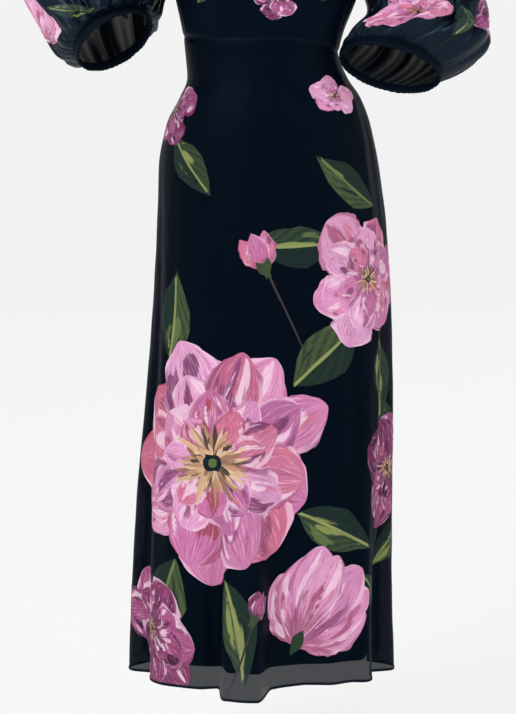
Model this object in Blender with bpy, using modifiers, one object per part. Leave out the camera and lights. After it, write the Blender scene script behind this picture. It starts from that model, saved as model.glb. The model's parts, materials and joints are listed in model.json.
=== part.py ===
"""A worn maxi dress: fitted bodice, long flared skirt over a lining, balloon sleeves gathered into narrow cuffs.

The origin is the middle of the shoulder line, +Z is up and the front of the dress faces -Y. Left and right
are the wearer's, so the left sleeve is at +X. Every cloth piece is a thin wall round one figure surface.
"""
import math

import bmesh
import bpy
import numpy as np
from mathutils import Matrix, Vector

# Walls and seams
CLOTH = 0.0015                 # wall of the outer cloth
LINING_CLOTH = 0.0012          # wall of the skirt lining
SEAM = 0.0003                  # space left between two pieces at a seam
STEP = 1e-4                    # step of the slopes that give each wall its direction

# Lengths
HEM_Z = -1.356                 # hem of the skirt
WAIST_Z = -0.400               # waist seam at the front and back
WAIST_DROP = 0.022             # how much lower the waist seam hangs at the left hip
WAIST_DROP_ANGLE = math.radians(88)
WAIST_DROP_REACH = math.radians(72)
LINING_RISE = 0.030            # the lining's hem above the skirt's hem
LINING_TOP_GAP = 0.0032        # skirt's face to lining's face at the waist
LINING_HEM_GAP = 0.0055        # the same at the lining's hem
LINING_FULLNESS = 0.5          # share of the skirt's flutes that the slimmer lining follows
HEM_DIP = 0.06                 # how much a flute's hem hangs lower, for each metre that it stands out

# Neck, shoulder and armhole
SHOULDER_NECK_Z = 0.015
SHOULDER_TIP_Z = -0.030
NECK_HALF_WIDTH = 0.075
NECK_DROP = {"front": 0.090, "back": 0.022}
UNDERARM_Z = -0.195
ARMHOLE_CUT = {"front": math.radians(18), "back": math.radians(15)}

# The figure: half widths to the wearer's right (-X) and left (+X), and half depths, at each height
FIGURE_COLUMNS = ("height", "right", "left", "front", "back")
FIGURE = (
    (0.015, 0.075, 0.075, 0.058, 0.064),
    (0.005, 0.105, 0.105, 0.062, 0.070),
    (-0.010, 0.150, 0.150, 0.067, 0.078),
    (-0.030, 0.180, 0.180, 0.074, 0.088),
    (-0.055, 0.183, 0.183, 0.084, 0.097),
    (-0.090, 0.178, 0.178, 0.096, 0.107),
    (-0.140, 0.168, 0.168, 0.109, 0.112),
    (-0.195, 0.155, 0.155, 0.121, 0.110),
    (-0.245, 0.149, 0.151, 0.123, 0.105),
    (-0.295, 0.139, 0.147, 0.111, 0.100),
    (-0.343, 0.127, 0.138, 0.100, 0.097),
    (-0.400, 0.1165, 0.1185, 0.093, 0.098),
    (-0.425, 0.1135, 0.1135, 0.094, 0.101),
    (-0.460, 0.1110, 0.1265, 0.099, 0.110),
    (-0.490, 0.1225, 0.1460, 0.105, 0.119),
    (-0.530, 0.1420, 0.1605, 0.110, 0.127),
    (-0.590, 0.1530, 0.1715, 0.113, 0.133),
    (-0.680, 0.1540, 0.1810, 0.114, 0.135),
    (-0.800, 0.1570, 0.1850, 0.113, 0.134),
    (-0.950, 0.1640, 0.1830, 0.110, 0.134),
    (-1.100, 0.1720, 0.1760, 0.106, 0.136),
    (-1.250, 0.1740, 0.1700, 0.107, 0.139),
    (-1.356, 0.1730, 0.1690, 0.107, 0.142),
)
SQUARENESS = 0.045             # fullness of each quarter of a figure section beyond an ellipse
BUST = {"angle": math.radians(36), "height": -0.245, "out": 0.010,
        "spread": math.radians(21), "rise": 0.052}

# Flutes that hang open towards the hem. Columns: angle, half width (degrees), depth, height where it starts,
# how far it wanders towards its top (degrees), share of its width that is level
FLUTES = (
    (-92, 19, 0.030, -0.56, 3, 0.0),
    (-41, 30, 0.028, -0.78, 2, 0.35),
    (-4, 27, 0.030, -0.82, 0, 0.0),
    (-8, 12.5, 0.058, -0.98, 0, 0.5),
    (36, 20, 0.012, -0.80, -3, 0.0),
    (56, 15, 0.022, -0.62, -4, 0.0),
    (94, 18, 0.033, -0.50, -2, 0.1),
    (126, 17, 0.044, -0.66, 2, 0.0),
    (158, 16, 0.052, -0.74, -2, 0.1),
    (-167, 17, 0.050, -0.72, 3, 0.0),
    (-130, 18, 0.046, -0.68, -2, 0.1),
)
FLUTE_OPENING = 1.25           # above 1, a flute opens slowly at its top

# Sleeve sections from the upper arm to the gathers. Columns: centre x, y, z; the way the arm runs x, y, z;
# half sizes outwards and forwards; how far the outward direction is lifted
SLEEVES = {
    "right": (
        (-0.212, 0.010, -0.145, -0.80, 0.15, -0.58, 0.075, 0.064, 0.2),
        (-0.240, 0.030, -0.205, -0.62, 0.25, -0.74, 0.086, 0.076, 0.2),
        (-0.256, 0.040, -0.262, -0.40, 0.20, -0.89, 0.098, 0.088, 0.2),
        (-0.256, 0.038, -0.318, -0.12, 0.05, -0.99, 0.114, 0.097, 0.1),
        (-0.239, 0.022, -0.366, 0.18, -0.25, -0.95, 0.096, 0.098, 0.0),
        (-0.228, 0.000, -0.397, 0.33, -0.42, -0.85, 0.078, 0.088, -0.2),
        (-0.2218, -0.0232, -0.3990, 0.47, -0.57, -0.67, 0.060, 0.056, -0.45),
    ),
    "left": (
        (0.212, 0.010, -0.145, 0.80, 0.12, -0.59, 0.075, 0.064, 0.2),
        (0.236, 0.025, -0.205, 0.55, 0.20, -0.81, 0.083, 0.076, 0.2),
        (0.244, 0.030, -0.262, 0.25, 0.12, -0.96, 0.089, 0.086, 0.1),
        (0.238, 0.022, -0.318, 0.05, 0.00, -1.00, 0.092, 0.090, 0.0),
        (0.245, 0.004, -0.365, -0.05, -0.25, -0.97, 0.090, 0.090, 0.0),
        (0.2345, -0.018, -0.402, -0.12, -0.50, -0.86, 0.094, 0.076, -0.1),
        (0.1894, -0.041, -0.4374, -0.20, -0.75, -0.63, 0.074, 0.044, -0.2),
    ),
}
GATHERS = 12                   # waves where a sleeve is drawn into its cuff
GATHER_DEPTH = 0.0030
GATHER_REACH = 0.72            # share of the sleeve's length above its gathers
CUFF_WIDTH = 0.012
CUFF_FLARE = 0.0015

# Mesh steps
SKIRT_STEPS = {"front": 42, "back": 22}
SKIRT_ROWS = (0.0, 0.035, 0.07, 0.11, 0.16, 0.23, 0.32, 0.44, 0.58, 0.73, 0.87, 1.0)
LINING_STEPS = 48
NECK_SHARE, SHOULDER_SHARE = 0.18, 0.42
BODICE_STEPS = {"neck": 3, "shoulder": 3, "armhole": 8}
BODICE_ROWS = (0.0, 0.15, 0.30, 0.44, 0.58, 0.72, 0.84, 0.93, 1.0)
SLEEVE_STEPS = 48
SLEEVE_ROWS = 12
EDGE_STEPS = 1500              # fine steps that measure the cloth's edge
EDGE_SHARE = 0.72              # share of even steps along the edge; the rest is even in angle
SHARP_ANGLE = math.radians(50)
WELD = 1e-6                    # points closer than this are one

# Zip in the centre-back seam
ZIP_BOTTOM_Z = -0.560
TAPE_HALF_WIDTH = 0.011
TAPE_WALL = 0.0010
TAPE_GAP = 0.0005
SLIDER = {"width": 0.0060, "length": 0.0090, "height": 0.0020, "bevel": 0.0005, "gap": 0.0004}
BRIDGE_RADIUS = 0.0018
BRIDGE_WIRE = 0.0005
PULL_BAR = 0.0011              # side of the pull's top bar, round which it turns
PULL_CROWN = 0.0002            # how far the bar's upper edge is rounded out
PULL_WINDOW = {"half_width": 0.0013, "length": 0.0030}
PULL_HALF_WIDTH = {"top": 0.0024, "foot": 0.0034}
PULL_LENGTH = 0.0230

COLOURS = {                    # base colour, roughness, metallic
    "cloth": ((0.010, 0.018, 0.034), 0.72, 0.0),
    "lining": ((0.008, 0.013, 0.024), 0.60, 0.0),
    "metal": ((0.060, 0.070, 0.090), 0.35, 0.9),
}


def smooth_column(rows, columns, name, at):
    """One column of a table as a smooth curve over its first column, without overshoot."""
    order = np.argsort([row[0] for row in rows])
    x = np.array([rows[i][0] for i in order])
    y = np.array([rows[i][columns.index(name)] for i in order])
    rise = np.diff(y) / np.diff(x)
    slope = np.zeros_like(y)
    same = rise[:-1] * rise[1:] > 0
    both = rise[:-1] + rise[1:]
    slope[1:-1][same] = 2 * (rise[:-1] * rise[1:])[same] / both[same]
    slope[0], slope[-1] = rise[0], rise[-1]
    at = np.clip(at, x[0], x[-1])
    i = np.clip(np.searchsorted(x, at) - 1, 0, len(x) - 2)
    width = x[i + 1] - x[i]
    t = (at - x[i]) / width
    start = (1 + 2 * t) * (1 - t) ** 2 * y[i] + t * (1 - t) ** 2 * width * slope[i]
    end = t * t * (3 - 2 * t) * y[i + 1] + t * t * (t - 1) * width * slope[i + 1]
    return start + end


def figure_column(name, z):
    return smooth_column(FIGURE, FIGURE_COLUMNS, name, z)


def turn_between(phi, centre):
    """Signed angle from centre to phi, in -pi..pi."""
    return (phi - centre + math.pi) % (2 * math.pi) - math.pi


def flutes(phi, z):
    """How far the skirt's flutes stand out at an angle and a height."""
    out = np.zeros(np.broadcast(phi, z).shape)
    for angle, half_width, depth, top, wander, level in FLUTES:
        grown = np.clip((top - z) / (top - HEM_Z), 0, 1)
        centre = np.radians(angle + wander * (1 - grown))
        share = np.abs(turn_between(phi, centre)) / np.radians(half_width)
        share = np.clip((share - level) / (1 - level), 0, 1)
        out = out + depth * grown ** FLUTE_OPENING * np.cos(share * math.pi / 2) ** 2
    return out


def bust(phi, z):
    around = (np.abs(turn_between(phi, 0)) - BUST["angle"]) / BUST["spread"]
    along = (z - BUST["height"]) / BUST["rise"]
    return BUST["out"] * np.exp(-around ** 2 - along ** 2)


def figure(phi, z, fullness=1.0):
    """The outer face of the dress at an angle from the front (left is positive) and a height."""
    side, fore = np.sin(phi), np.cos(phi)
    half_x = np.where(side >= 0, figure_column("left", z), figure_column("right", z))
    half_y = np.where(fore >= 0, figure_column("front", z), figure_column("back", z))
    square = 1 + SQUARENESS * np.sin(2 * phi) ** 2
    out = fullness * flutes(phi, z) + bust(phi, z)
    out_x, out_y = side / half_x, fore / half_y
    length = np.hypot(out_x, out_y)
    x = half_x * side * square + out * out_x / length
    y = -half_y * fore * square - out * out_y / length
    return np.stack([x, y, z + 0 * x], axis=-1)


def slopes(face, u, v):
    """The two slopes of a face and its unit direction outwards."""
    along_u = (face(u + STEP, v) - face(u - STEP, v)) / (2 * STEP)
    along_v = (face(u, v + STEP) - face(u, v - STEP)) / (2 * STEP)
    normal = np.cross(along_u, along_v)
    return along_u, along_v, normal / np.linalg.norm(normal, axis=-1, keepdims=True)


def half_seam(phi, z, face=figure):
    """The angle that takes half a seam's space off a panel's edge."""
    return SEAM / 2 / np.linalg.norm(slopes(face, phi, z)[0], axis=-1)


def waist_z(phi):
    share = np.clip(np.abs(turn_between(phi, WAIST_DROP_ANGLE)) / WAIST_DROP_REACH, 0, 1)
    return WAIST_Z - WAIST_DROP * np.cos(share * math.pi / 2) ** 2


def hem_z(phi):
    return HEM_Z - HEM_DIP * flutes(phi, HEM_Z)


def mesh_object(name, vertices, faces, colour, collection):
    mesh = bpy.data.meshes.new(name)
    mesh.from_pydata(vertices, [], faces)
    shape = bmesh.new()
    shape.from_mesh(mesh)
    bmesh.ops.recalc_face_normals(shape, faces=shape.faces)
    shape.to_mesh(mesh)
    shape.free()
    mesh.shade_smooth()
    mesh.set_sharp_from_angle(angle=SHARP_ANGLE)
    part = bpy.data.objects.new(name, mesh)
    collection.objects.link(part)
    finish(part, colour)
    return part


def finish(part, colour):
    """Each part gets a material of its own."""
    base, roughness, metallic = COLOURS[colour]
    material = bpy.data.materials.new(part.name)
    material.use_nodes = True
    shader = material.node_tree.nodes["Principled BSDF"]
    shader.inputs["Base Color"].default_value = (*base, 1)
    shader.inputs["Roughness"].default_value = roughness
    shader.inputs["Metallic"].default_value = metallic
    part.data.materials.clear()
    part.data.materials.append(material)


def wall(name, outer, inner, around, colour, collection):
    """A closed wall between two faces of rows and columns of points, both split along the same diagonals.

    around joins the last column to the first."""
    rows, columns = outer.shape[:2]
    vertices = [tuple(point) for face in (outer, inner) for row in face for point in row]
    depth = rows * columns
    spans = columns if around else columns - 1
    faces = []
    for i in range(rows - 1):
        for j in range(spans):
            k = (j + 1) % columns
            corners = (i * columns + j, i * columns + k, (i + 1) * columns + k, (i + 1) * columns + j)
            for half in ((0, 1, 2), (0, 2, 3)):
                faces.append(tuple(corners[n] for n in half))
                faces.append(tuple(depth + corners[n] for n in reversed(half)))
    edges = []
    for i in (0, rows - 1):
        edges += [(i * columns + j, i * columns + (j + 1) % columns) for j in range(spans)]
    if not around:
        for j in (0, columns - 1):
            edges += [(i * columns + j, (i + 1) * columns + j) for i in range(rows - 1)]
    faces += [(a, b, depth + b, depth + a) for a, b in edges]
    return mesh_object(name, vertices, faces, colour, collection)


def even_angles(low, high, steps, z, fullness=1.0):
    """Angles from low to high, mostly at even steps along the cloth's edge at a height."""
    fine = np.linspace(low, high, EDGE_STEPS)
    points = figure(fine, np.full_like(fine, z), fullness)
    run = np.concatenate([[0], np.cumsum(np.linalg.norm(np.diff(points, axis=0), axis=1))])
    mixed = EDGE_SHARE * run / run[-1] + (1 - EDGE_SHARE) * (fine - low) / (high - low)
    return np.interp(np.linspace(0, 1, steps + 1), mixed, fine)


def skirt_panel(name, low, high, steps, collection):
    """A skirt panel between two seams, from the waist seam to the hem."""
    phi = np.tile(even_angles(low, high, steps, HEM_Z), (len(SKIRT_ROWS), 1))
    share = np.array(SKIRT_ROWS)[:, None]
    top = waist_z(phi) - SEAM / 2
    z = top + (hem_z(phi) - top) * share
    phi[:, 0] += half_seam(phi[:, 0], z[:, 0])
    phi[:, -1] -= half_seam(phi[:, -1], z[:, -1])
    outer = figure(phi, z)
    outwards = slopes(figure, phi, z)[2]
    return wall(name, outer, outer - CLOTH * outwards, False, "cloth", collection)


def lining_face(phi, z):
    return figure(phi, z, LINING_FULLNESS)


def skirt_lining(collection):
    """One tube inside the skirt, cut slimmer and hemmed higher."""
    angles = even_angles(-math.pi, math.pi, LINING_STEPS, HEM_Z, LINING_FULLNESS)[:-1]
    phi = np.tile(angles, (len(SKIRT_ROWS), 1))
    share = np.array(SKIRT_ROWS)[:, None]
    top = waist_z(phi) - SEAM / 2
    z = top + (hem_z(phi) - top) * share
    z[-1] += LINING_RISE
    gap = LINING_TOP_GAP + (LINING_HEM_GAP - LINING_TOP_GAP) * share[..., None]
    outwards = slopes(lining_face, phi, z)[2]
    outer = lining_face(phi, z) - gap * outwards
    return wall("skirt_lining", outer, outer - LINING_CLOTH * outwards, True, "lining", collection)


def armhole(psi, side):
    """Angle and height of the armhole's edge; psi turns from the shoulder tip (0) forwards to the underarm."""
    cut = np.where(np.sin(psi) >= 0, ARMHOLE_CUT["front"], ARMHOLE_CUT["back"])
    phi = side * (math.pi / 2 - cut * np.sin(psi))
    middle, half = (SHOULDER_TIP_Z + UNDERARM_Z) / 2, (SHOULDER_TIP_Z - UNDERARM_Z) / 2
    return phi, middle + half * np.cos(psi)


def bodice_top(share, which, side):
    """Width and height of a bodice half's top edge: neckline, shoulder seam, then armhole."""
    width_name = "left" if side > 0 else "right"
    if share < NECK_SHARE:
        turn = share / NECK_SHARE * math.pi / 2
        return NECK_HALF_WIDTH * math.sin(turn), SHOULDER_NECK_Z - NECK_DROP[which] * math.cos(turn)
    if share < SHOULDER_SHARE:
        run = (share - NECK_SHARE) / (SHOULDER_SHARE - NECK_SHARE)
        z = SHOULDER_NECK_Z + (SHOULDER_TIP_Z - SHOULDER_NECK_Z) * run
        return float(figure_column(width_name, z)), z
    psi = (share - SHOULDER_SHARE) / (1 - SHOULDER_SHARE) * math.pi
    phi, z = armhole(psi if which == "front" else -psi, 1)
    return float(figure_column(width_name, z) * math.sin(phi)), float(z)


def bodice_shares():
    neck = np.linspace(0, NECK_SHARE, BODICE_STEPS["neck"] + 1)[:-1]
    shoulder = np.linspace(NECK_SHARE, SHOULDER_SHARE, BODICE_STEPS["shoulder"] + 1)[:-1]
    return np.concatenate([neck, shoulder, np.linspace(SHOULDER_SHARE, 1, BODICE_STEPS["armhole"] + 1)])


def bodice_half(which, side):
    """Angles and heights of half a bodice, centre line first: straight up to the chest, then fanned out."""
    shares, rises = bodice_shares(), np.array(BODICE_ROWS)
    phi = np.zeros((len(rises), len(shares)))
    z = np.zeros_like(phi)
    width_name = "left" if side > 0 else "right"
    for j, share in enumerate(shares):
        turn = share * math.pi / 2
        top_x, top_z = bodice_top(share, which, side)
        foot = waist_z(side * turn if which == "front" else side * (math.pi - turn)) + SEAM / 2
        z[:, j] = foot + (top_z - foot) * rises
        fan = np.clip((z[:, j] - UNDERARM_Z) / max(top_z - UNDERARM_Z, STEP), 0, 1)
        low_x = figure_column(width_name, UNDERARM_Z) * math.sin(turn)
        x = low_x + (top_x - low_x) * fan
        fanned = np.arcsin(np.clip(x / figure_column(width_name, z[:, j]), 0, 1))
        turned = np.where(z[:, j] > UNDERARM_Z, fanned, turn)
        turned = np.minimum(turned, math.pi / 2 - half_seam(np.full_like(turned, math.pi / 2), z[:, j]))
        phi[:, j] = side * turned if which == "front" else side * (math.pi - turned)
    if which == "back":
        phi[:, 0] -= side * half_seam(phi[:, 0], z[:, 0])
    return phi, z


def bodice_panel(name, phi, z, collection):
    outer = figure(phi, z)
    outwards = slopes(figure, phi, z)[2]
    return wall(name, outer, outer - CLOTH * outwards, False, "cloth", collection)


def sleeve_head(psi, side):
    """The sleeve's first section: just outside the straight runs of the armhole's edge."""
    knots = np.arange(2 * BODICE_STEPS["armhole"] + 1) * math.pi / BODICE_STEPS["armhole"]
    phi, z = armhole(knots, side)
    across, up, _ = slopes(figure, phi, z)
    across *= side / np.linalg.norm(across, axis=-1, keepdims=True)
    up /= np.linalg.norm(up, axis=-1, keepdims=True)
    leave = across * np.sin(knots)[:, None] - up * np.cos(knots)[:, None]
    edge = figure(phi, z) + 2 * SEAM * leave / np.linalg.norm(leave, axis=-1, keepdims=True)
    return np.stack([np.interp(psi % (2 * math.pi), knots, edge[:, k]) for k in range(3)], axis=-1)


def sleeve_sections(psi, side):
    """Points round each section of a sleeve, the armhole first."""
    sections = [sleeve_head(psi, side)]
    for row in SLEEVES["left" if side > 0 else "right"]:
        x, y, z, run_x, run_y, run_z, out, fore, lift = row
        run = Vector((run_x, run_y, run_z)).normalized()
        outwards = Vector((side, 0, lift))
        outwards = (outwards - outwards.dot(run) * run).normalized()
        forwards = side * run.cross(outwards)
        ring = out * np.cos(psi)[..., None] * np.array(outwards)
        ring = ring + fore * np.sin(psi)[..., None] * np.array(forwards)
        sections.append(np.array((x, y, z)) + ring)
    return np.array(sections)


def through_sections(sections, s):
    """A smooth path through sections at s from 0 to 1."""
    spans = len(sections) - 1
    at = np.clip(s, 0, 1) * spans
    i = np.clip(at.astype(int), 0, spans - 1)
    t = (at - i)[..., None]
    index = np.indices(i.shape)

    def pick(k):
        k = np.clip(k, 0, spans)
        return sections[(k, *index)]

    before, start, end, after = pick(i - 1), pick(i), pick(i + 1), pick(i + 2)
    return start + 0.5 * t * (end - before + t * (2 * before - 5 * start + 4 * end - after
                                                  + t * (3 * (start - end) + after - before)))


def sleeve_face(side):
    """A sleeve's outer face as a function of the turn psi and of s, from armhole (0) to cuff (1)."""
    def face(psi, s):
        sections = sleeve_sections(psi, side)
        plain = through_sections(sections, s)
        drawn = np.clip((s - GATHER_REACH) / (1 - GATHER_REACH), 0, 1)
        wave = GATHER_DEPTH * np.sin(drawn * math.pi) * np.cos(GATHERS * psi)
        centre = sections[-1].mean(axis=tuple(range(sections[-1].ndim - 1)))
        out = plain - centre
        return plain + wave[..., None] * out / np.linalg.norm(out, axis=-1, keepdims=True)
    return face


def sleeve(side, collection):
    name = "left" if side > 0 else "right"
    psi, s = np.meshgrid(np.arange(SLEEVE_STEPS) * 2 * math.pi / SLEEVE_STEPS, np.linspace(0, 1, SLEEVE_ROWS))
    face = sleeve_face(side)
    outer = face(psi, s)
    outwards = slopes(face, psi, np.clip(s, STEP, 1 - STEP))[2] * side
    outwards[-1] = away_from_middle(outer[-1])
    return wall(f"sleeve_{name}", outer, outer - CLOTH * outwards, True, "cloth", collection)


def away_from_middle(ring):
    """Unit directions from the middle of a ring of points to each of them."""
    out = ring - ring.mean(axis=0)
    return out / np.linalg.norm(out, axis=1, keepdims=True)


def cuff(side, collection):
    """A narrow band that carries on from the sleeve's last section, a little wider at its edge."""
    name = "left" if side > 0 else "right"
    psi = np.arange(SLEEVE_STEPS) * 2 * math.pi / SLEEVE_STEPS
    rim = sleeve_sections(psi, side)[-1]
    run = Vector(SLEEVES[name][-1][3:6]).normalized()
    out = away_from_middle(rim)
    rows = []
    for share in (0, 1):
        rows.append(rim + np.array(run) * (SEAM * 2 + CUFF_WIDTH * share) + out * CUFF_FLARE * share)
    outer = np.array(rows)
    return wall(f"cuff_{name}", outer, outer - CLOTH * out, True, "cloth", collection)


def centre_back_rows(back_z, skirt_z):
    """Heights of the centre-back seam's rows along the zip, from the neck down."""
    lower = [z for z in skirt_z if ZIP_BOTTOM_Z <= z < WAIST_Z - SEAM]
    return np.array(list(back_z[::-1]) + lower)


def zip_tape(heights, collection):
    """The tape behind the centre-back seam, following its rows."""
    turns = np.array((-1, 0, 1)) * TAPE_HALF_WIDTH
    radius = np.linalg.norm(slopes(figure, np.full_like(heights, math.pi), heights)[0], axis=-1)
    phi = math.pi + turns[None, :] / radius[:, None]
    z = np.repeat(heights[:, None], 3, axis=1)
    outwards = slopes(figure, phi, z)[2]
    outer = figure(phi, z) - (CLOTH + TAPE_GAP) * outwards
    return wall("zip_tape", outer, outer - TAPE_WALL * outwards, False, "lining", collection)


def seat_frame(heights):
    """The slider's seat on the seam, between two rows: x across, y down the back, z away from the cloth."""
    upper, lower = figure(np.full(2, math.pi), heights[1:3])
    down = Vector(lower - upper).normalized()
    away = Vector((1, 0, 0)).cross(down)
    away = away if away.y > 0 else -away
    middle = (Vector(upper) + Vector(lower)) / 2
    across = down.cross(away)
    turn = Matrix((across, down, away)).transposed().to_4x4()
    return Matrix.Translation(middle) @ turn


def zip_slider(seat, collection):
    """A small rounded body with a ring sunk into its face as the bridge for the pull."""
    bpy.ops.mesh.primitive_cube_add(size=1)
    body = bpy.context.active_object
    body.name = "zip_slider"
    body.data.transform(Matrix.Diagonal((SLIDER["width"], SLIDER["length"], SLIDER["height"], 1)))
    bevel = body.modifiers.new("rounded", "BEVEL")
    bevel.width = SLIDER["bevel"]
    bevel.segments = 1
    bpy.ops.mesh.primitive_torus_add(major_radius=BRIDGE_RADIUS, minor_radius=BRIDGE_WIRE,
                                     major_segments=18, minor_segments=8)
    ring = bpy.context.active_object
    ring.name = "bridge_ring"
    ring.data.transform(Matrix.Translation((0, 0, hinge_height())) @ Matrix.Rotation(math.pi / 2, 4, "Y"))
    join = body.modifiers.new("bridge", "BOOLEAN")
    join.operation = "UNION"
    join.object = ring
    body.matrix_world = seat @ Matrix.Translation((0, 0, SLIDER["gap"] + SLIDER["height"] / 2))
    ring.matrix_world = body.matrix_world
    for part in (body, ring):
        for old in part.users_collection:
            old.objects.unlink(part)
    collection.objects.link(body)
    body.data.shade_smooth()
    body.data.set_sharp_from_angle(angle=SHARP_ANGLE)
    finish(body, "metal")
    return ring


def hinge_height():
    """The hinge axis above the slider body's middle, so that the ring just clears the body's face."""
    return SLIDER["height"] / 2 + BRIDGE_RADIUS - BRIDGE_WIRE


def outline_curve(shape, points):
    spline = shape.splines.new("POLY")
    spline.points.add(len(points) - 1)
    for point, (x, y) in zip(spline.points, points):
        point.co = (x, y, 0, 1)
    spline.use_cyclic_u = True


def zip_pull(seat, collection):
    """A flat drop with a window; its top bar lies in the slider's bridge and its origin is on that bar."""
    top, foot = PULL_HALF_WIDTH["top"], PULL_HALF_WIDTH["foot"]
    bend = [math.radians(angle) for angle in range(0, 181, 30)]
    crown = [(top * math.cos(a), -PULL_BAR / 2 - PULL_CROWN * math.sin(a)) for a in bend]
    drop = [(-foot * math.cos(a), PULL_LENGTH - foot + foot * math.sin(a)) for a in bend]
    window = [(-PULL_WINDOW["half_width"], PULL_BAR / 2), (PULL_WINDOW["half_width"], PULL_BAR / 2),
              (PULL_WINDOW["half_width"], PULL_BAR / 2 + PULL_WINDOW["length"]),
              (-PULL_WINDOW["half_width"], PULL_BAR / 2 + PULL_WINDOW["length"])]
    shape = bpy.data.curves.new("pull_outline", "CURVE")
    shape.dimensions = "2D"
    shape.fill_mode = "BOTH"
    shape.extrude = PULL_BAR / 2
    outline_curve(shape, crown + drop)
    outline_curve(shape, window)
    flat = bpy.data.objects.new("pull_outline", shape)
    collection.objects.link(flat)
    solid = bpy.data.meshes.new_from_object(flat.evaluated_get(bpy.context.evaluated_depsgraph_get()))
    bpy.data.objects.remove(flat)
    welded = bmesh.new()
    welded.from_mesh(solid)
    bmesh.ops.remove_doubles(welded, verts=welded.verts, dist=WELD)
    bmesh.ops.recalc_face_normals(welded, faces=welded.faces)
    welded.to_mesh(solid)
    welded.free()
    pull = bpy.data.objects.new("zip_pull", solid)
    collection.objects.link(pull)
    pull.matrix_world = seat @ Matrix.Translation((0, 0, SLIDER["gap"] + SLIDER["height"] / 2 + hinge_height()))
    finish(pull, "metal")
    return pull


def main():
    for old in list(bpy.data.objects):
        bpy.data.objects.remove(old, do_unlink=True)
    dress = bpy.data.collections.new("maxi_dress")
    guides = bpy.data.collections.new("cutters")
    for group in (dress, guides):
        bpy.context.scene.collection.children.link(group)

    quarter = math.pi / 2
    skirt_panel("skirt_front", -quarter, quarter, SKIRT_STEPS["front"], dress)
    skirt_panel("skirt_back_left", quarter, 2 * quarter, SKIRT_STEPS["back"], dress)
    skirt_panel("skirt_back_right", -2 * quarter, -quarter, SKIRT_STEPS["back"], dress)
    skirt_lining(dress)

    right_phi, right_z = bodice_half("front", -1)
    left_phi, left_z = bodice_half("front", 1)
    front_phi = np.concatenate([right_phi[:, :0:-1], left_phi], axis=1)
    front_z = np.concatenate([right_z[:, :0:-1], left_z], axis=1)
    bodice_panel("bodice_front", front_phi, front_z, dress)
    back_phi, back_z = bodice_half("back", 1)
    bodice_panel("bodice_back_left", back_phi, back_z, dress)
    bodice_panel("bodice_back_right", *bodice_half("back", -1), dress)

    for side in (1, -1):
        sleeve(side, dress)
        cuff(side, dress)

    skirt_top = float(waist_z(math.pi)) - SEAM / 2
    skirt_heights = [skirt_top + (float(hem_z(math.pi)) - skirt_top) * share for share in SKIRT_ROWS]
    seam_heights = centre_back_rows(back_z[:, 0], skirt_heights)
    zip_tape(seam_heights, dress)
    seat = seat_frame(seam_heights)
    ring = zip_slider(seat, dress)
    guides.objects.link(ring)
    ring.hide_render = True
    ring.display_type = "WIRE"
    zip_pull(seat, dress)


main()
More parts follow.
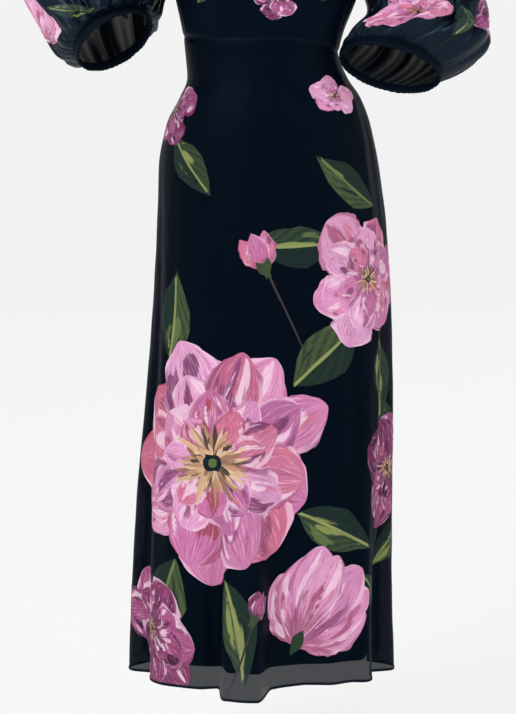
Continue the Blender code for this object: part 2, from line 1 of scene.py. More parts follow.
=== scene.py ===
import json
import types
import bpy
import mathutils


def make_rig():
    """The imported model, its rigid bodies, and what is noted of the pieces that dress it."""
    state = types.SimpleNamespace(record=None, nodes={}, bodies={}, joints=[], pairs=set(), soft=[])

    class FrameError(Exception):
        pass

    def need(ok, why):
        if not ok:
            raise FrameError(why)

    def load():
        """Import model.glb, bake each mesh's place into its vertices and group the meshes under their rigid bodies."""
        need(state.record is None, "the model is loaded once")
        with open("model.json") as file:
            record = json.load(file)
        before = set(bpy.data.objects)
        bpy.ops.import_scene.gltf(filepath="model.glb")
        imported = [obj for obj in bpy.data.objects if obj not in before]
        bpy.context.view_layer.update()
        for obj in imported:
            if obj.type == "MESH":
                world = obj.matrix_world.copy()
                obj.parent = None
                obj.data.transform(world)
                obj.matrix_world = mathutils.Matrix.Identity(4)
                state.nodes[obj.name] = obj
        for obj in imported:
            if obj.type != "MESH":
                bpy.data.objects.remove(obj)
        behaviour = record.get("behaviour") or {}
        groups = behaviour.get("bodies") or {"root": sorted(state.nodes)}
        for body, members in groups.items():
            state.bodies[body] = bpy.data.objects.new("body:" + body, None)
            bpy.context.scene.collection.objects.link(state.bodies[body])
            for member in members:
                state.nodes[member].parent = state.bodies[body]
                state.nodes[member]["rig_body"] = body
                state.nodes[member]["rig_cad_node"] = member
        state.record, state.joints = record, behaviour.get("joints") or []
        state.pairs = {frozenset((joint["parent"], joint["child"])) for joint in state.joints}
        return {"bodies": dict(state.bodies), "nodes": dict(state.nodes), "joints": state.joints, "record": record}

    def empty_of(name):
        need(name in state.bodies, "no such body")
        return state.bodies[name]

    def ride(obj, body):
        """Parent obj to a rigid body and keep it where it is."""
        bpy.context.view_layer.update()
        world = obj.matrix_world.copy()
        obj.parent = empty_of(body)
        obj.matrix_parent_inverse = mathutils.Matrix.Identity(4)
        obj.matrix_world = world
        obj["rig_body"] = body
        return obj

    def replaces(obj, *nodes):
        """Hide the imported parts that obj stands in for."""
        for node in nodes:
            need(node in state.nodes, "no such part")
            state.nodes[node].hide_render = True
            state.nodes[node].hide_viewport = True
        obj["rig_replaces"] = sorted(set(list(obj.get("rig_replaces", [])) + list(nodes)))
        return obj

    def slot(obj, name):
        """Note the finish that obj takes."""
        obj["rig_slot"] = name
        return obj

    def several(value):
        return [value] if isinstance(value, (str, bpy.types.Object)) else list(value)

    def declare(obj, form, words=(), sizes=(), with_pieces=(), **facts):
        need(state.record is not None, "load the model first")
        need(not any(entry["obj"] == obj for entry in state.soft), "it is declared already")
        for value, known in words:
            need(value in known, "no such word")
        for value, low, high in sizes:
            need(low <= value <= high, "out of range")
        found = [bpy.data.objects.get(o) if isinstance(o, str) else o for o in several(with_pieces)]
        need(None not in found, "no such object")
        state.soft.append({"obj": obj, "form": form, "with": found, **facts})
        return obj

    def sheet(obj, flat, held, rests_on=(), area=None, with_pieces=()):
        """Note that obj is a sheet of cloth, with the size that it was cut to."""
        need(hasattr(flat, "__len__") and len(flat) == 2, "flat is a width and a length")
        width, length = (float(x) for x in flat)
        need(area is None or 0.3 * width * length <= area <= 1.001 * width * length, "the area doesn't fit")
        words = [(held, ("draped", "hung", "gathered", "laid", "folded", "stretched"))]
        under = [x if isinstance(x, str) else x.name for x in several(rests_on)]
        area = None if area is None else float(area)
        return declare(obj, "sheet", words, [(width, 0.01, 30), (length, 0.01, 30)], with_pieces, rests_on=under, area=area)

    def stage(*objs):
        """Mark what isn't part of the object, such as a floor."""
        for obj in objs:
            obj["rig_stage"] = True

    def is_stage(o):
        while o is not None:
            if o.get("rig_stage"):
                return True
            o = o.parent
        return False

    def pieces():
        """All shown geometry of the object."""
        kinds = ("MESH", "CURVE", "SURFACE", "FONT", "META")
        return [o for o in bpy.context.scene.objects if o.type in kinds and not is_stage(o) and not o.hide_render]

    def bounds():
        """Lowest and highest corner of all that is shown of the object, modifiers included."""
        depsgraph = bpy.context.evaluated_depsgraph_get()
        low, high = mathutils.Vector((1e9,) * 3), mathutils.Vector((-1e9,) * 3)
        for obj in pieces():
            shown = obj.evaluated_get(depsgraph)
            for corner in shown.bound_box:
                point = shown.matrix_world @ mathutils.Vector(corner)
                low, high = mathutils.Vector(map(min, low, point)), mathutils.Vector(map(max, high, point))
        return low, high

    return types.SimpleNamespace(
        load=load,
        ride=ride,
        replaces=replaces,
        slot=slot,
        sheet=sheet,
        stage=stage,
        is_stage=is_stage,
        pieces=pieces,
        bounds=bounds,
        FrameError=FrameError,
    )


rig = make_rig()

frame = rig.load()
cad_box = [list(corner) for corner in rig.bounds()]

import json
import math

import bmesh
import bpy
import numpy as np
from mathutils import Vector
from mathutils.geometry import delaunay_2d_cdt
from mathutils.kdtree import KDTree

# ---------------------------------------------------------------- sizes, in metres
CHIFFON = 0.0004               # thickness of the outer cloth
LINING_CLOTH = 0.0004
SEAM = 0.0002                  # space left between two panels at a seam
STEP = 1e-4
HEM_Z = -1.356
WAIST_Z = -0.400
WAIST_DROP = 0.022
WAIST_DROP_ANGLE = math.radians(88)
WAIST_DROP_REACH = math.radians(72)
LINING_RISE = 0.030
LINING_TOP_GAP = 0.0032
LINING_HEM_GAP = 0.0055
LINING_FULLNESS = 0.5
HEM_DIP = 0.06
SHOULDER_NECK_Z = 0.015
SHOULDER_TIP_Z = -0.030
NECK_HALF_WIDTH = 0.075
NECK_DROP = {"front": 0.090, "back": 0.022}
UNDERARM_Z = -0.195
ARMHOLE_CUT = {"front": math.radians(18), "back": math.radians(15)}
NECK_SHARE, SHOULDER_SHARE = 0.18, 0.42
CUFF_WIDTH = 0.012
GATHERS = 12
GATHER_DEPTH = 0.0030
GATHER_REACH = 0.72
FINE_GATHERS = 41
GATHER_FOLDS = 22
ZIP_TOP_Z, ZIP_BOTTOM_Z = -0.010, -0.548
HEM_WIDTH = 0.0042
HEM_THICKNESS = 0.0014
LINING_HEM_WIDTH = 0.0100
WAIST_DIP = 0.0018
NECK_EDGE_WIDTH = 0.0050
ALLOWANCE = 0.0090
CUFF_ROLL = 0.0060             # half the height of the soft roll that closes a sleeve
CUFF_ROLL_NEAR = {"left": 0.0068, "right": 0.0012}   # how much more where the cloth bunches at the front
CUFF_PLUMP = 0.0025            # half its thickness
CUFF_OVERLAP = 0.0035          # how far the roll reaches up over the sleeve's end
CUFF_PUCKERS = 58
PUFF = {"left": 0.0110, "right": 0.0070}   # how far the sleeve blouses out over its cuff
SLEEVE_CREASE = 1.45           # how much deeper the creases fall where the arm bends
FLOOR_Z = -1.52
SIDES = {1: "left", -1: "right"}
SEAM_ROWS = (0.0014, 0.0034)   # how far in the first rows of points run along each edge
SHARP_ANGLE = math.radians(70)
GATHERS_FROM = 0.35            # share of a sleeve's length above which its cloth lies in one layer
FOLD_LAYERS = 1.6              # layers of cloth that a gather's fold adds
FOLD_FULL = 0.0045             # depth at which a fold has all of them
FOLD_TOPS = (0.30, 0.74)       # share of the sleeve where a fold fades in
FOLD_LEANS = (-0.18, 0.18)
FOLD_WIDTHS = (0.055, 0.105)
FOLD_DEPTHS = (0.0042, 0.0092)
SEAM_DIP, SEAM_DIP_REACH = 0.0007, 0.0045
WAIST_DIP_REACH = {"skirt": 0.0042, "bodice": 0.0028}
WAIST_PUCKERS, WAIST_PUCKER_DEPTH, WAIST_PUCKER_FADE = 84, 0.0005, 0.018
RIPPLE = 0.00022
LINING_CREASE = 0.4            # how much of the skirt's creases the lining takes on
SIDE_RADIUS, BACK_RADIUS = 0.16, 0.10      # of the bodice beside its side seams and its back seam
BACK_DIP, BACK_DIP_REACH = 0.0008, 0.0040
DART_DEPTH, DART_WIDTH, DART_FADE, DART_START = 0.0009, 0.0030, 6, -0.2
HEAD_GAP = 1.5 * SEAM          # space between a sleeve's head and the armhole
FINE_FROM, FINE_DEPTH = 0.80, 0.0013       # fine gathers: where along the sleeve they start, and their depth
PUFF_FROM = 0.78
HELD_FROM = 0.90               # share of the sleeve from which the cuff holds its creases
EASE_REACH, EASE_DEPTH, EASE_PUCKERS = 0.10, 0.0009, 26    # small puckers at a sleeve's head
CUT_ROWS, CUT_COLUMNS = 90, 240            # how finely a plain form is measured for its flat cut
YOKE_ROWS, BODY_ROWS = 40, 80
YOKE_FOOT_Z, CUT_FOOT_Z = -0.04, -0.43
SHOULDER_COLUMN = 235          # the column of the plain form that a bodice's length is measured down
STRETCH = 120                  # steps along each stretch of a bodice's outline
EDGE_STEP = 0.001
ROW_CLEAR, ROW_PITCH, GRID_CLEAR = 0.85, 0.88, 0.45
ART_MARGIN, ART_CLEAR = 0.0008, 0.34
SAME_PLACE, SAME_POINT = 1e-5, 1e-6
HEM_STEPS, LINING_HEM_STEPS, CUFF_STEPS, ARMHOLE_STEPS = 300, 420, 420, 220
NECK_STEPS = {"front": 110, "back": 30}
BACK_CLEAR = 0.01              # share of a half back left free of neck edge beside the zip
BAND_SIDES, CUFF_SIDES = 8, 14
PUCKER_ACROSS = 0.35           # how much of a band's puckers also widens it
CUFF_PUCKER_DEPTHS = (0.13, 0.09)
CUFF_LIFT, BUNCH_REACH = 0.0004, 1.7
GRID = {"skirt": 0.0046, "lining": 0.0068, "bodice": 0.0040, "sleeve": 0.0042}
SLEEVE_FOOT = {"from": 0.80, "step": 0.0028}               # a finer grid towards the cuff
HEM_LAP, FOLD_LAP = 0.0006, 0.0004         # how far a folded edge reaches past its cloth
LINING_HEM_THICKNESS, NECK_EDGE_THICKNESS = 0.0012, 0.0013
ALLOWANCE_THICKNESS, ALLOWANCE_INSET, ALLOWANCE_SEWING = 0.0010, 0.0019, 0.0007
WAIST_ALLOWANCE_UP, ARMHOLE_ALLOWANCE_UP = 0.0030, 0.0005
ZIP_CLEAR = 0.13               # angle left free of seam allowance at each side of the zip
SIDE_ALLOWANCE_FOOT_Z = -0.392
TAPE_BACK = 0.0015 + 0.0005 + 0.0010       # wall, space and tape behind the outer face

# The figure: height, half widths to the right and left, half depths to the front and back
FIGURE_COLUMNS = ("height", "right", "left", "front", "back")
FIGURE = (
    (0.015, 0.075, 0.075, 0.058, 0.064),
    (0.005, 0.105, 0.105, 0.062, 0.070),
    (-0.010, 0.150, 0.150, 0.067, 0.078),
    (-0.030, 0.180, 0.180, 0.074, 0.088),
    (-0.055, 0.183, 0.183, 0.084, 0.097),
    (-0.090, 0.178, 0.178, 0.096, 0.107),
    (-0.140, 0.168, 0.168, 0.109, 0.112),
    (-0.195, 0.155, 0.155, 0.121, 0.110),
    (-0.245, 0.149, 0.151, 0.123, 0.105),
    (-0.295, 0.139, 0.147, 0.111, 0.100),
    (-0.343, 0.127, 0.138, 0.100, 0.097),
    (-0.400, 0.1165, 0.1185, 0.093, 0.098),
    (-0.425, 0.1135, 0.1135, 0.094, 0.101),
    (-0.460, 0.1110, 0.1265, 0.099, 0.110),
    (-0.490, 0.1225, 0.1460, 0.105, 0.119),
    (-0.530, 0.1420, 0.1605, 0.110, 0.127),
    (-0.590, 0.1530, 0.1715, 0.113, 0.133),
    (-0.680, 0.1540, 0.1810, 0.114, 0.135),
    (-0.800, 0.1570, 0.1850, 0.113, 0.134),
    (-0.950, 0.1640, 0.1830, 0.110, 0.134),
    (-1.100, 0.1720, 0.1760, 0.106, 0.136),
    (-1.250, 0.1740, 0.1700, 0.107, 0.139),
    (-1.356, 0.1730, 0.1690, 0.107, 0.142),
)
SQUARENESS = 0.045
BUST = {"angle": math.radians(36), "height": -0.245, "out": 0.010,
        "spread": math.radians(21), "rise": 0.052}

# Flutes: angle, half width (degrees), depth, height where it starts, wander (degrees), level share
FLUTES = (
    (-92, 19, 0.030, -0.56, 3, 0.0),
    (-41, 30, 0.028, -0.78, 2, 0.35),
    (-4, 27, 0.030, -0.82, 0, 0.0),
    (-8, 12.5, 0.058, -0.98, 0, 0.5),
    (36, 20, 0.012, -0.80, -3, 0.0),
    (56, 15, 0.022, -0.62, -4, 0.0),
    (94, 18, 0.033, -0.50, -2, 0.1),
    (126, 17, 0.044, -0.66, 2, 0.0),
    (158, 16, 0.052, -0.74, -2, 0.1),
    (-167, 17, 0.050, -0.72, 3, 0.0),
    (-130, 18, 0.046, -0.68, -2, 0.1),
)
FLUTE_OPENING = 1.25

# Sleeve sections: centre, the way the arm runs, half sizes outwards and forwards, lift
SLEEVES = {
    "right": (
        (-0.212, 0.010, -0.145, -0.80, 0.15, -0.58, 0.075, 0.064, 0.2),
        (-0.240, 0.030, -0.205, -0.62, 0.25, -0.74, 0.086, 0.076, 0.2),
        (-0.256, 0.040, -0.262, -0.40, 0.20, -0.89, 0.098, 0.088, 0.2),
        (-0.256, 0.038, -0.318, -0.12, 0.05, -0.99, 0.114, 0.097, 0.1),
        (-0.239, 0.022, -0.366, 0.18, -0.25, -0.95, 0.096, 0.098, 0.0),
        (-0.228, 0.000, -0.397, 0.33, -0.42, -0.85, 0.078, 0.088, -0.2),
        (-0.2218, -0.0232, -0.3990, 0.47, -0.57, -0.67, 0.060, 0.056, -0.45),
    ),
    "left": (
        (0.212, 0.010, -0.145, 0.80, 0.12, -0.59, 0.075, 0.064, 0.2),
        (0.236, 0.025, -0.205, 0.55, 0.20, -0.81, 0.083, 0.076, 0.2),
        (0.244, 0.030, -0.262, 0.25, 0.12, -0.96, 0.089, 0.086, 0.1),
        (0.238, 0.022, -0.318, 0.05, 0.00, -1.00, 0.092, 0.090, 0.0),
        (0.245, 0.004, -0.365, -0.05, -0.25, -0.97, 0.090, 0.090, 0.0),
        (0.2345, -0.018, -0.402, -0.12, -0.50, -0.86, 0.094, 0.076, -0.1),
        (0.1894, -0.041, -0.4374, -0.20, -0.75, -0.63, 0.074, 0.044, -0.2),
    ),
}

# Soft creases of the skirt: angle, half width (degrees), depth (out is positive), top and foot heights,
# how far it drifts towards its top (degrees)
SKIRT_CREASES = (
    (-66, 8, 0.0032, -0.60, -1.60, 5),
    (-55, 7, -0.0034, -0.70, -1.70, 4),
    (-29, 9, 0.0030, -0.62, -1.50, -6),
    (-20, 6, -0.0030, -0.78, -1.62, -4),
    (9, 7, -0.0032, -0.86, -1.66, -3),
    (19, 8, 0.0034, -0.72, -1.55, -5),
    (29, 6, -0.0026, -0.66, -1.50, -6),
    (44, 7, 0.0030, -0.55, -1.40, -5),
    (49, 5, -0.0034, -0.58, -1.58, -7),
    (68, 6, 0.0036, -0.50, -1.45, -8),
    (76, 5, -0.0030, -0.48, -1.40, -6),
    (-79, 6, -0.0032, -0.52, -1.48, 6),
    (-14, 12, 0.0016, -0.42, -0.74, 6),
    (34, 11, 0.0018, -0.44, -0.80, 10),
    (62, 9, -0.0016, -0.42, -0.70, 12),
    (108, 6, -0.0032, -0.55, -1.55, 5),
    (116, 7, 0.0030, -0.60, -1.60, 4),
    (142, 6, -0.0034, -0.66, -1.64, -4),
    (150, 6, 0.0028, -0.52, -1.45, -6),
    (171, 7, -0.0034, -0.70, -1.66, 3),
    (-150, 7, -0.0034, -0.64, -1.60, 5),
    (-158, 6, 0.0030, -0.58, -1.52, 4),
    (-142, 6, 0.0028, -0.50, -1.44, 8),
    (-114, 6, -0.0034, -0.60, -1.62, -4),
    (-106, 6, 0.0030, -0.56, -1.50, -6),
)

# Creases of a sleeve: turn round it and half width (degrees), depth, start and end along it, drift (degrees)
SLEEVE_CREASES = {
    "right": (
        (60, 17, -0.0060, 0.16, 0.82, 26),
        (86, 14, 0.0046, 0.22, 0.90, 20),
        (112, 15, -0.0058, 0.10, 0.86, 12),
        (22, 15, -0.0050, 0.28, 0.92, 30),
        (40, 12, 0.0042, 0.36, 0.96, 18),
        (138, 13, 0.0040, 0.18, 0.84, -14),
        (-20, 18, -0.0056, 0.20, 0.88, -22),
        (-48, 15, 0.0044, 0.26, 0.92, -18),
        (-76, 17, -0.0058, 0.14, 0.84, -16),
        (-112, 15, 0.0046, 0.22, 0.90, 12),
        (-140, 14, -0.0050, 0.12, 0.82, 18),
        (168, 14, -0.0046, 0.16, 0.88, 10),
    ),
    "left": (
        (52, 15, -0.0058, 0.20, 0.88, -24),
        (74, 13, 0.0046, 0.14, 0.80, -20),
        (98, 16, -0.0062, 0.24, 0.92, -16),
        (28, 14, 0.0040, 0.30, 0.94, -22),
        (126, 14, 0.0044, 0.18, 0.86, 14),
        (8, 16, -0.0052, 0.18, 0.84, -18),
        (-22, 15, 0.0044, 0.26, 0.94, 16),
        (-50, 16, -0.0056, 0.14, 0.86, 20),
        (-84, 15, 0.0046, 0.20, 0.90, 14),
        (-116, 16, -0.0056, 0.16, 0.84, -12),
        (-146, 13, 0.0040, 0.24, 0.92, -16),
        (158, 14, -0.0050, 0.12, 0.82, -10),
        (64, 9, -0.0070, 0.50, 1.14, 52),
        (84, 8, 0.0046, 0.52, 1.16, 50),
        (100, 10, -0.0066, 0.56, 1.12, 46),
        (126, 9, 0.0042, 0.50, 1.14, 40),
        (36, 9, -0.0058, 0.54, 1.12, 44),
    ),
}

# Tucks of the bodice above the waist seam: angle and half width (degrees), depth, top and foot heights
BODICE_TUCKS = (
    (6, 2.6, 0.0018, -0.335, -0.408, 2),
    (13, 2.4, 0.0028, -0.310, -0.410, 4),
    (19, 2.3, 0.0032, -0.290, -0.412, 6),
    (25, 2.4, 0.0028, -0.300, -0.414, 8),
    (31, 2.5, 0.0022, -0.325, -0.416, 9),
    (-30, 6.0, 0.0014, -0.300, -0.404, -5),
    (-62, 7.0, -0.0016, -0.240, -0.398, -6),
    (66, 7.0, -0.0018, -0.230, -0.410, 8),
    (84, 6.0, 0.0018, -0.220, -0.400, 4),
    (-84, 6.0, 0.0016, -0.220, -0.396, -4),
    (140, 7.0, -0.0014, -0.250, -0.398, 3),
    (-140, 7.0, -0.0014, -0.250, -0.398, -3),
    (112, 6.5, 0.0014, -0.260, -0.400, 5),
    (-112, 6.5, 0.0014, -0.260, -0.400, -5),
)


# ---------------------------------------------------------------- the worn form
def smooth_column(rows, column, at):
    """One column of a table as a smooth curve over its first column, without overshoot."""
    order = np.argsort([row[0] for row in rows])
    x = np.array([rows[i][0] for i in order])
    y = np.array([rows[i][column] for i in order])
    rise = np.diff(y) / np.diff(x)
    slope = np.zeros_like(y)
    same = rise[:-1] * rise[1:] > 0
    both = rise[:-1] + rise[1:]
    slope[1:-1][same] = 2 * (rise[:-1] * rise[1:])[same] / both[same]
    slope[0], slope[-1] = rise[0], rise[-1]
    at = np.clip(at, x[0], x[-1])
    i = np.clip(np.searchsorted(x, at) - 1, 0, len(x) - 2)
    width = x[i + 1] - x[i]
    t = (at - x[i]) / width
    start = (1 + 2 * t) * (1 - t) ** 2 * y[i] + t * (1 - t) ** 2 * width * slope[i]
    end = t * t * (3 - 2 * t) * y[i + 1] + t * t * (t - 1) * width * slope[i + 1]
    return start + end


def figure_column(name, z):
    return smooth_column(FIGURE, FIGURE_COLUMNS.index(name), z)


def half_width(side, z):
    """Half the figure's width on the left, where side is above 0, or on the right."""
    return np.where(side > 0, figure_column("left", z), figure_column("right", z))


def unit(vectors):
    return vectors / np.linalg.norm(vectors, axis=-1, keepdims=True)


def past(share, start):
    """How far a share has come on its way from a start to 1."""
    return np.clip((share - start) / (1 - start), 0, 1)


def run_along(points):
    """The length run from the first point to each."""
    return np.concatenate([[0], np.cumsum(np.linalg.norm(np.diff(points, axis=0), axis=-1))])


def run_across(points):
    """The length along each row of points, counted from its middle."""
    steps = np.linalg.norm(np.diff(points, axis=1), axis=2)
    run = np.concatenate([np.zeros((len(points), 1)), np.cumsum(steps, axis=1)], axis=1)
    middle = run.shape[1] // 2
    return run - run[:, middle:middle + 1]


def added(name, data):
    """A new object in the scene."""
    thing = bpy.data.objects.new(name, data)
    bpy.context.scene.collection.objects.link(thing)
    return thing


def turn_between(phi, centre):
    return (phi - centre + math.pi) % (2 * math.pi) - math.pi


def ridge(share):
    """A soft hump, 1 at 0 and 0 from 1 on."""
    return np.cos(np.clip(share, 0, 1) * math.pi / 2) ** 2


def flutes(phi, z):
    out = np.zeros(np.broadcast(phi, z).shape)
    for angle, half_width, depth, top, wander, level in FLUTES:
        grown = np.clip((top - z) / (top - HEM_Z), 0, 1)
        centre = np.radians(angle + wander * (1 - grown))
        share = np.abs(turn_between(phi, centre)) / np.radians(half_width)
        out = out + depth * grown ** FLUTE_OPENING * ridge((share - level) / (1 - level))
    return out


def bust(phi, z):
    around = (np.abs(turn_between(phi, 0)) - BUST["angle"]) / BUST["spread"]
    along = (z - BUST["height"]) / BUST["rise"]
    return BUST["out"] * np.exp(-around ** 2 - along ** 2)


def figure(phi, z, fullness=1.0, extra=0.0):
    """The outer face of the dress at an angle from the front (left is positive) and a height."""
    side, fore = np.sin(phi), np.cos(phi)
    half_x = np.where(side >= 0, figure_column("left", z), figure_column("right", z))
    half_y = np.where(fore >= 0, figure_column("front", z), figure_column("back", z))
    square = 1 + SQUARENESS * np.sin(2 * phi) ** 2
    out = fullness * flutes(phi, z) + bust(phi, z) + extra
    out_x, out_y = side / half_x, fore / half_y
    length = np.hypot(out_x, out_y)
    x = half_x * side * square + out * out_x / length
    y = -half_y * fore * square - out * out_y / length
    return np.stack([x, y, z + 0 * x], axis=-1)


def slopes(face, u, v):
    """The two slopes of a face and its unit direction."""
    along_u = (face(u + STEP, v) - face(u - STEP, v)) / (2 * STEP)
    along_v = (face(u, v + STEP) - face(u, v - STEP)) / (2 * STEP)
    return along_u, along_v, unit(np.cross(along_u, along_v))


def waist_z(phi):
    return WAIST_Z - WAIST_DROP * ridge(np.abs(turn_between(phi, WAIST_DROP_ANGLE)) / WAIST_DROP_REACH)


def hem_z(phi):
    return HEM_Z - HEM_DIP * flutes(phi, HEM_Z)


def creased(phi, z, table):
    """Creases that fade in below their top and out above their foot."""
    out = np.zeros(np.broadcast(phi, z).shape)
    for angle, half_width, depth, top, foot, drift in table:
        run = np.clip((top - z) / (top - foot), 0, 1)
        centre = np.radians(angle + drift * (1 - run))
        share = np.abs(turn_between(phi, centre)) / np.radians(half_width)
        out = out + depth * np.sin(run * math.pi) * ridge(share)
    return out


def ripple(phi, z):
    """Fine unevenness of light cloth, under half a millimetre."""
    wave = np.sin(23 * phi + 31 * z) * np.sin(17 * phi - 47 * z + 1.3) + 0.6 * np.sin(41 * phi + 83 * z + 0.7)
    return RIPPLE * wave


def seam_dip(distance, depth=SEAM_DIP, reach=SEAM_DIP_REACH):
    """How far the cloth sinks in beside a seam."""
    return -depth * np.exp(-(distance / reach) ** 2)


# ---------------------------------------------------------------- panels: a -1 to 1 across, b 0 down to 1
def skirt_place(low, high):
    """A skirt panel: a runs from one side seam to the other, b from the waist seam to the hem."""
    def place(a, b, worn=True):
        phi = low + (high - low) * (a + 1) / 2
        top = waist_z(phi) - SEAM / 2
        z = top + (hem_z(phi) - top) * b
        if not worn:
            return figure(phi, z)
        radius = 0.5 * (figure_column("left", z) + figure_column("back", z))
        beside = np.minimum(np.abs(a + 1), np.abs(1 - a)) * (high - low) / 2 * radius
        puckers = WAIST_PUCKER_DEPTH * np.sin(phi * WAIST_PUCKERS + 2 * np.sin(phi * 9))
        puckers = puckers * np.exp(-(top - z) / WAIST_PUCKER_FADE)
        extra = creased(phi, z, SKIRT_CREASES) + ripple(phi, z) + puckers
        extra = extra + seam_dip(top - z, WAIST_DIP, WAIST_DIP_REACH["skirt"]) + seam_dip(beside)
        edge = SEAM / 2 / radius / ((high - low) / 2)
        phi = low + (high - low) * (np.clip(a, -1 + edge, 1 - edge) + 1) / 2
        return figure(phi, z, 1.0, extra)
    return place


def lining_place(a, b, worn=True):
    phi = math.pi * a
    top = waist_z(phi) - SEAM
    z = top + (hem_z(phi) + LINING_RISE - top) * b
    gap = LINING_TOP_GAP + (LINING_HEM_GAP - LINING_TOP_GAP) * b
    extra = LINING_CREASE * creased(phi, z, SKIRT_CREASES) if worn else 0.0
    return figure(phi, z, LINING_FULLNESS, extra - gap)


def armhole(psi, side):
    """Angle and height of the armhole's edge; psi turns forwards, from 0 at the shoulder tip."""
    cut = np.where(np.sin(psi) >= 0, ARMHOLE_CUT["front"], ARMHOLE_CUT["back"])
    phi = side * (math.pi / 2 - cut * np.sin(psi))
    middle, half = (SHOULDER_TIP_Z + UNDERARM_Z) / 2, (SHOULDER_TIP_Z - UNDERARM_Z) / 2
    return phi, middle + half * np.cos(psi)


def bodice_top(share, which):
    """Width and height of a bodice half's top edge: neckline, shoulder seam, then armhole."""
    turn = np.clip(share / NECK_SHARE, 0, 1) * math.pi / 2
    neck_x = NECK_HALF_WIDTH * np.sin(turn)
    neck_z = SHOULDER_NECK_Z - NECK_DROP[which] * np.cos(turn)
    run = np.clip((share - NECK_SHARE) / (SHOULDER_SHARE - NECK_SHARE), 0, 1)
    shoulder_z = SHOULDER_NECK_Z + (SHOULDER_TIP_Z - SHOULDER_NECK_Z) * run
    shoulder_x = figure_column("left", shoulder_z)
    psi = np.clip((share - SHOULDER_SHARE) / (1 - SHOULDER_SHARE), 0, 1) * math.pi
    phi, hole_z = armhole(psi if which == "front" else -psi, 1)
    hole_x = figure_column("left", hole_z) * np.sin(phi)
    x = np.where(share < NECK_SHARE, neck_x, np.where(share < SHOULDER_SHARE, shoulder_x, hole_x))
    z = np.where(share < NECK_SHARE, neck_z, np.where(share < SHOULDER_SHARE, shoulder_z, hole_z))
    return x, z


def bodice_angles(share, side, down, which):
    """Angle and height at a share across half a bodice and at a share down from its top edge."""
    turn = share * math.pi / 2
    top_x, top_z = bodice_top(share, which)
    foot = waist_z(side * turn if which == "front" else side * (math.pi - turn)) + SEAM / 2
    z = top_z + (foot - top_z) * down
    fan = np.clip((z - UNDERARM_Z) / np.maximum(top_z - UNDERARM_Z, STEP), 0, 1)
    wide = half_width(side, z)
    low_x = half_width(side, UNDERARM_Z) * np.sin(turn)
    fanned = np.arcsin(np.clip((low_x + (top_x - low_x) * fan) / wide, 0, 1))
    turned = np.where(z > UNDERARM_Z, fanned, turn)
    edge = SEAM / 2 / wide
    turned = np.minimum(turned, math.pi / 2 - edge)
    if which == "back":
        turned = np.maximum(turned, edge)
    return (side * turned if which == "front" else side * (math.pi - turned)), z


def bodice_place(which, side=0):
    """The bodice front over its whole width, or one half of the back with its centre seam at a = -1."""
    def place(a, b):
        if which == "front":
            phi, z = bodice_angles(np.abs(a), np.where(a >= 0, 1, -1), b, "front")
        else:
            phi, z = bodice_angles((a + 1) / 2, np.full(np.shape(a), side), b, "back")
        return bodice_worn(which)(phi, z)
    return place


def bodice_worn(which):
    """The bodice's outer face at an angle and a height, with its tucks, darts and seams."""
    def face(phi, z):
        beside = (math.pi / 2 - np.abs(turn_between(phi, 0 if which == "front" else math.pi))) * SIDE_RADIUS
        extra = creased(phi, z, BODICE_TUCKS) + ripple(phi, z) + dart_dip(phi, z)
        extra = extra + seam_dip(z - waist_z(phi), WAIST_DIP, WAIST_DIP_REACH["bodice"])
        extra = extra + seam_dip(beside) * (z < UNDERARM_Z)
        if which == "back":
            back = np.abs(turn_between(phi, math.pi)) * BACK_RADIUS
            extra = extra + seam_dip(back, BACK_DIP, BACK_DIP_REACH)
        return figure(phi, z, 1.0, extra)
    return face


# Bust darts from the side seam: start angle and height, point angle and height
DARTS = ((88, -0.262, 50, -0.246), (-88, -0.262, -50, -0.246))


def dart_dip(phi, z):
    """The fine valley along each bust dart."""
    out = np.zeros(np.broadcast(phi, z).shape)
    for start, start_z, point, point_z in DARTS:
        run = (np.degrees(phi) - start) / (point - start)
        line = start_z + (point_z - start_z) * np.clip(run, 0, 1)
        along = np.clip((1 - run) * DART_FADE, 0, 1) * (run >= DART_START)
        out = out - DART_DEPTH * along * np.exp(-((z - line) / DART_WIDTH) ** 2)
    return out


def sleeve_sections(psi, side):
    """Rings of points round a sleeve, from the armhole's edge to the cuff."""
    phi, z = armhole(psi, side)
    across, up, _ = slopes(figure, phi, z)
    leave = side * unit(across) * np.sin(psi)[..., None] - unit(up) * np.cos(psi)[..., None]
    head = figure(phi, z) + HEAD_GAP * leave / np.linalg.norm(leave, axis=-1, keepdims=True)
    sections = [head]
    for x, y, z, run_x, run_y, run_z, out, fore, lift in SLEEVES[SIDES[side]]:
        run = Vector((run_x, run_y, run_z)).normalized()
        outwards = Vector((side, 0, lift))
        outwards = (outwards - outwards.dot(run) * run).normalized()
        forwards = side * run.cross(outwards)
        ring = out * np.cos(psi)[..., None] * np.array(outwards)
        ring = ring + fore * np.sin(psi)[..., None] * np.array(forwards)
        sections.append(np.array((x, y, z)) + ring)
    return np.array(sections)


def through(rows, s, each=False):
    """A smooth path through rows of points at a share s, or one of its own for each place in s."""
    spans = len(rows) - 1
    at = np.clip(s, 0, 1) * spans
    i = np.clip(at.astype(int), 0, spans - 1)
    t = (at - i)[..., None]
    index = np.indices(i.shape) if each else ()
    before, start, end, after = (rows[(np.clip(i + k, 0, spans), *index)] for k in (-1, 0, 1, 2))
    return start + 0.5 * t * (end - before + t * (2 * before - 5 * start + 4 * end - after
                                                  + t * (3 * (start - end) + after - before)))


def fine_gathers(psi):
    """Close, slightly uneven waves round a sleeve, from -1 to 1."""
    return np.cos(FINE_GATHERS * psi + 1.5 * np.sin(3 * psi))


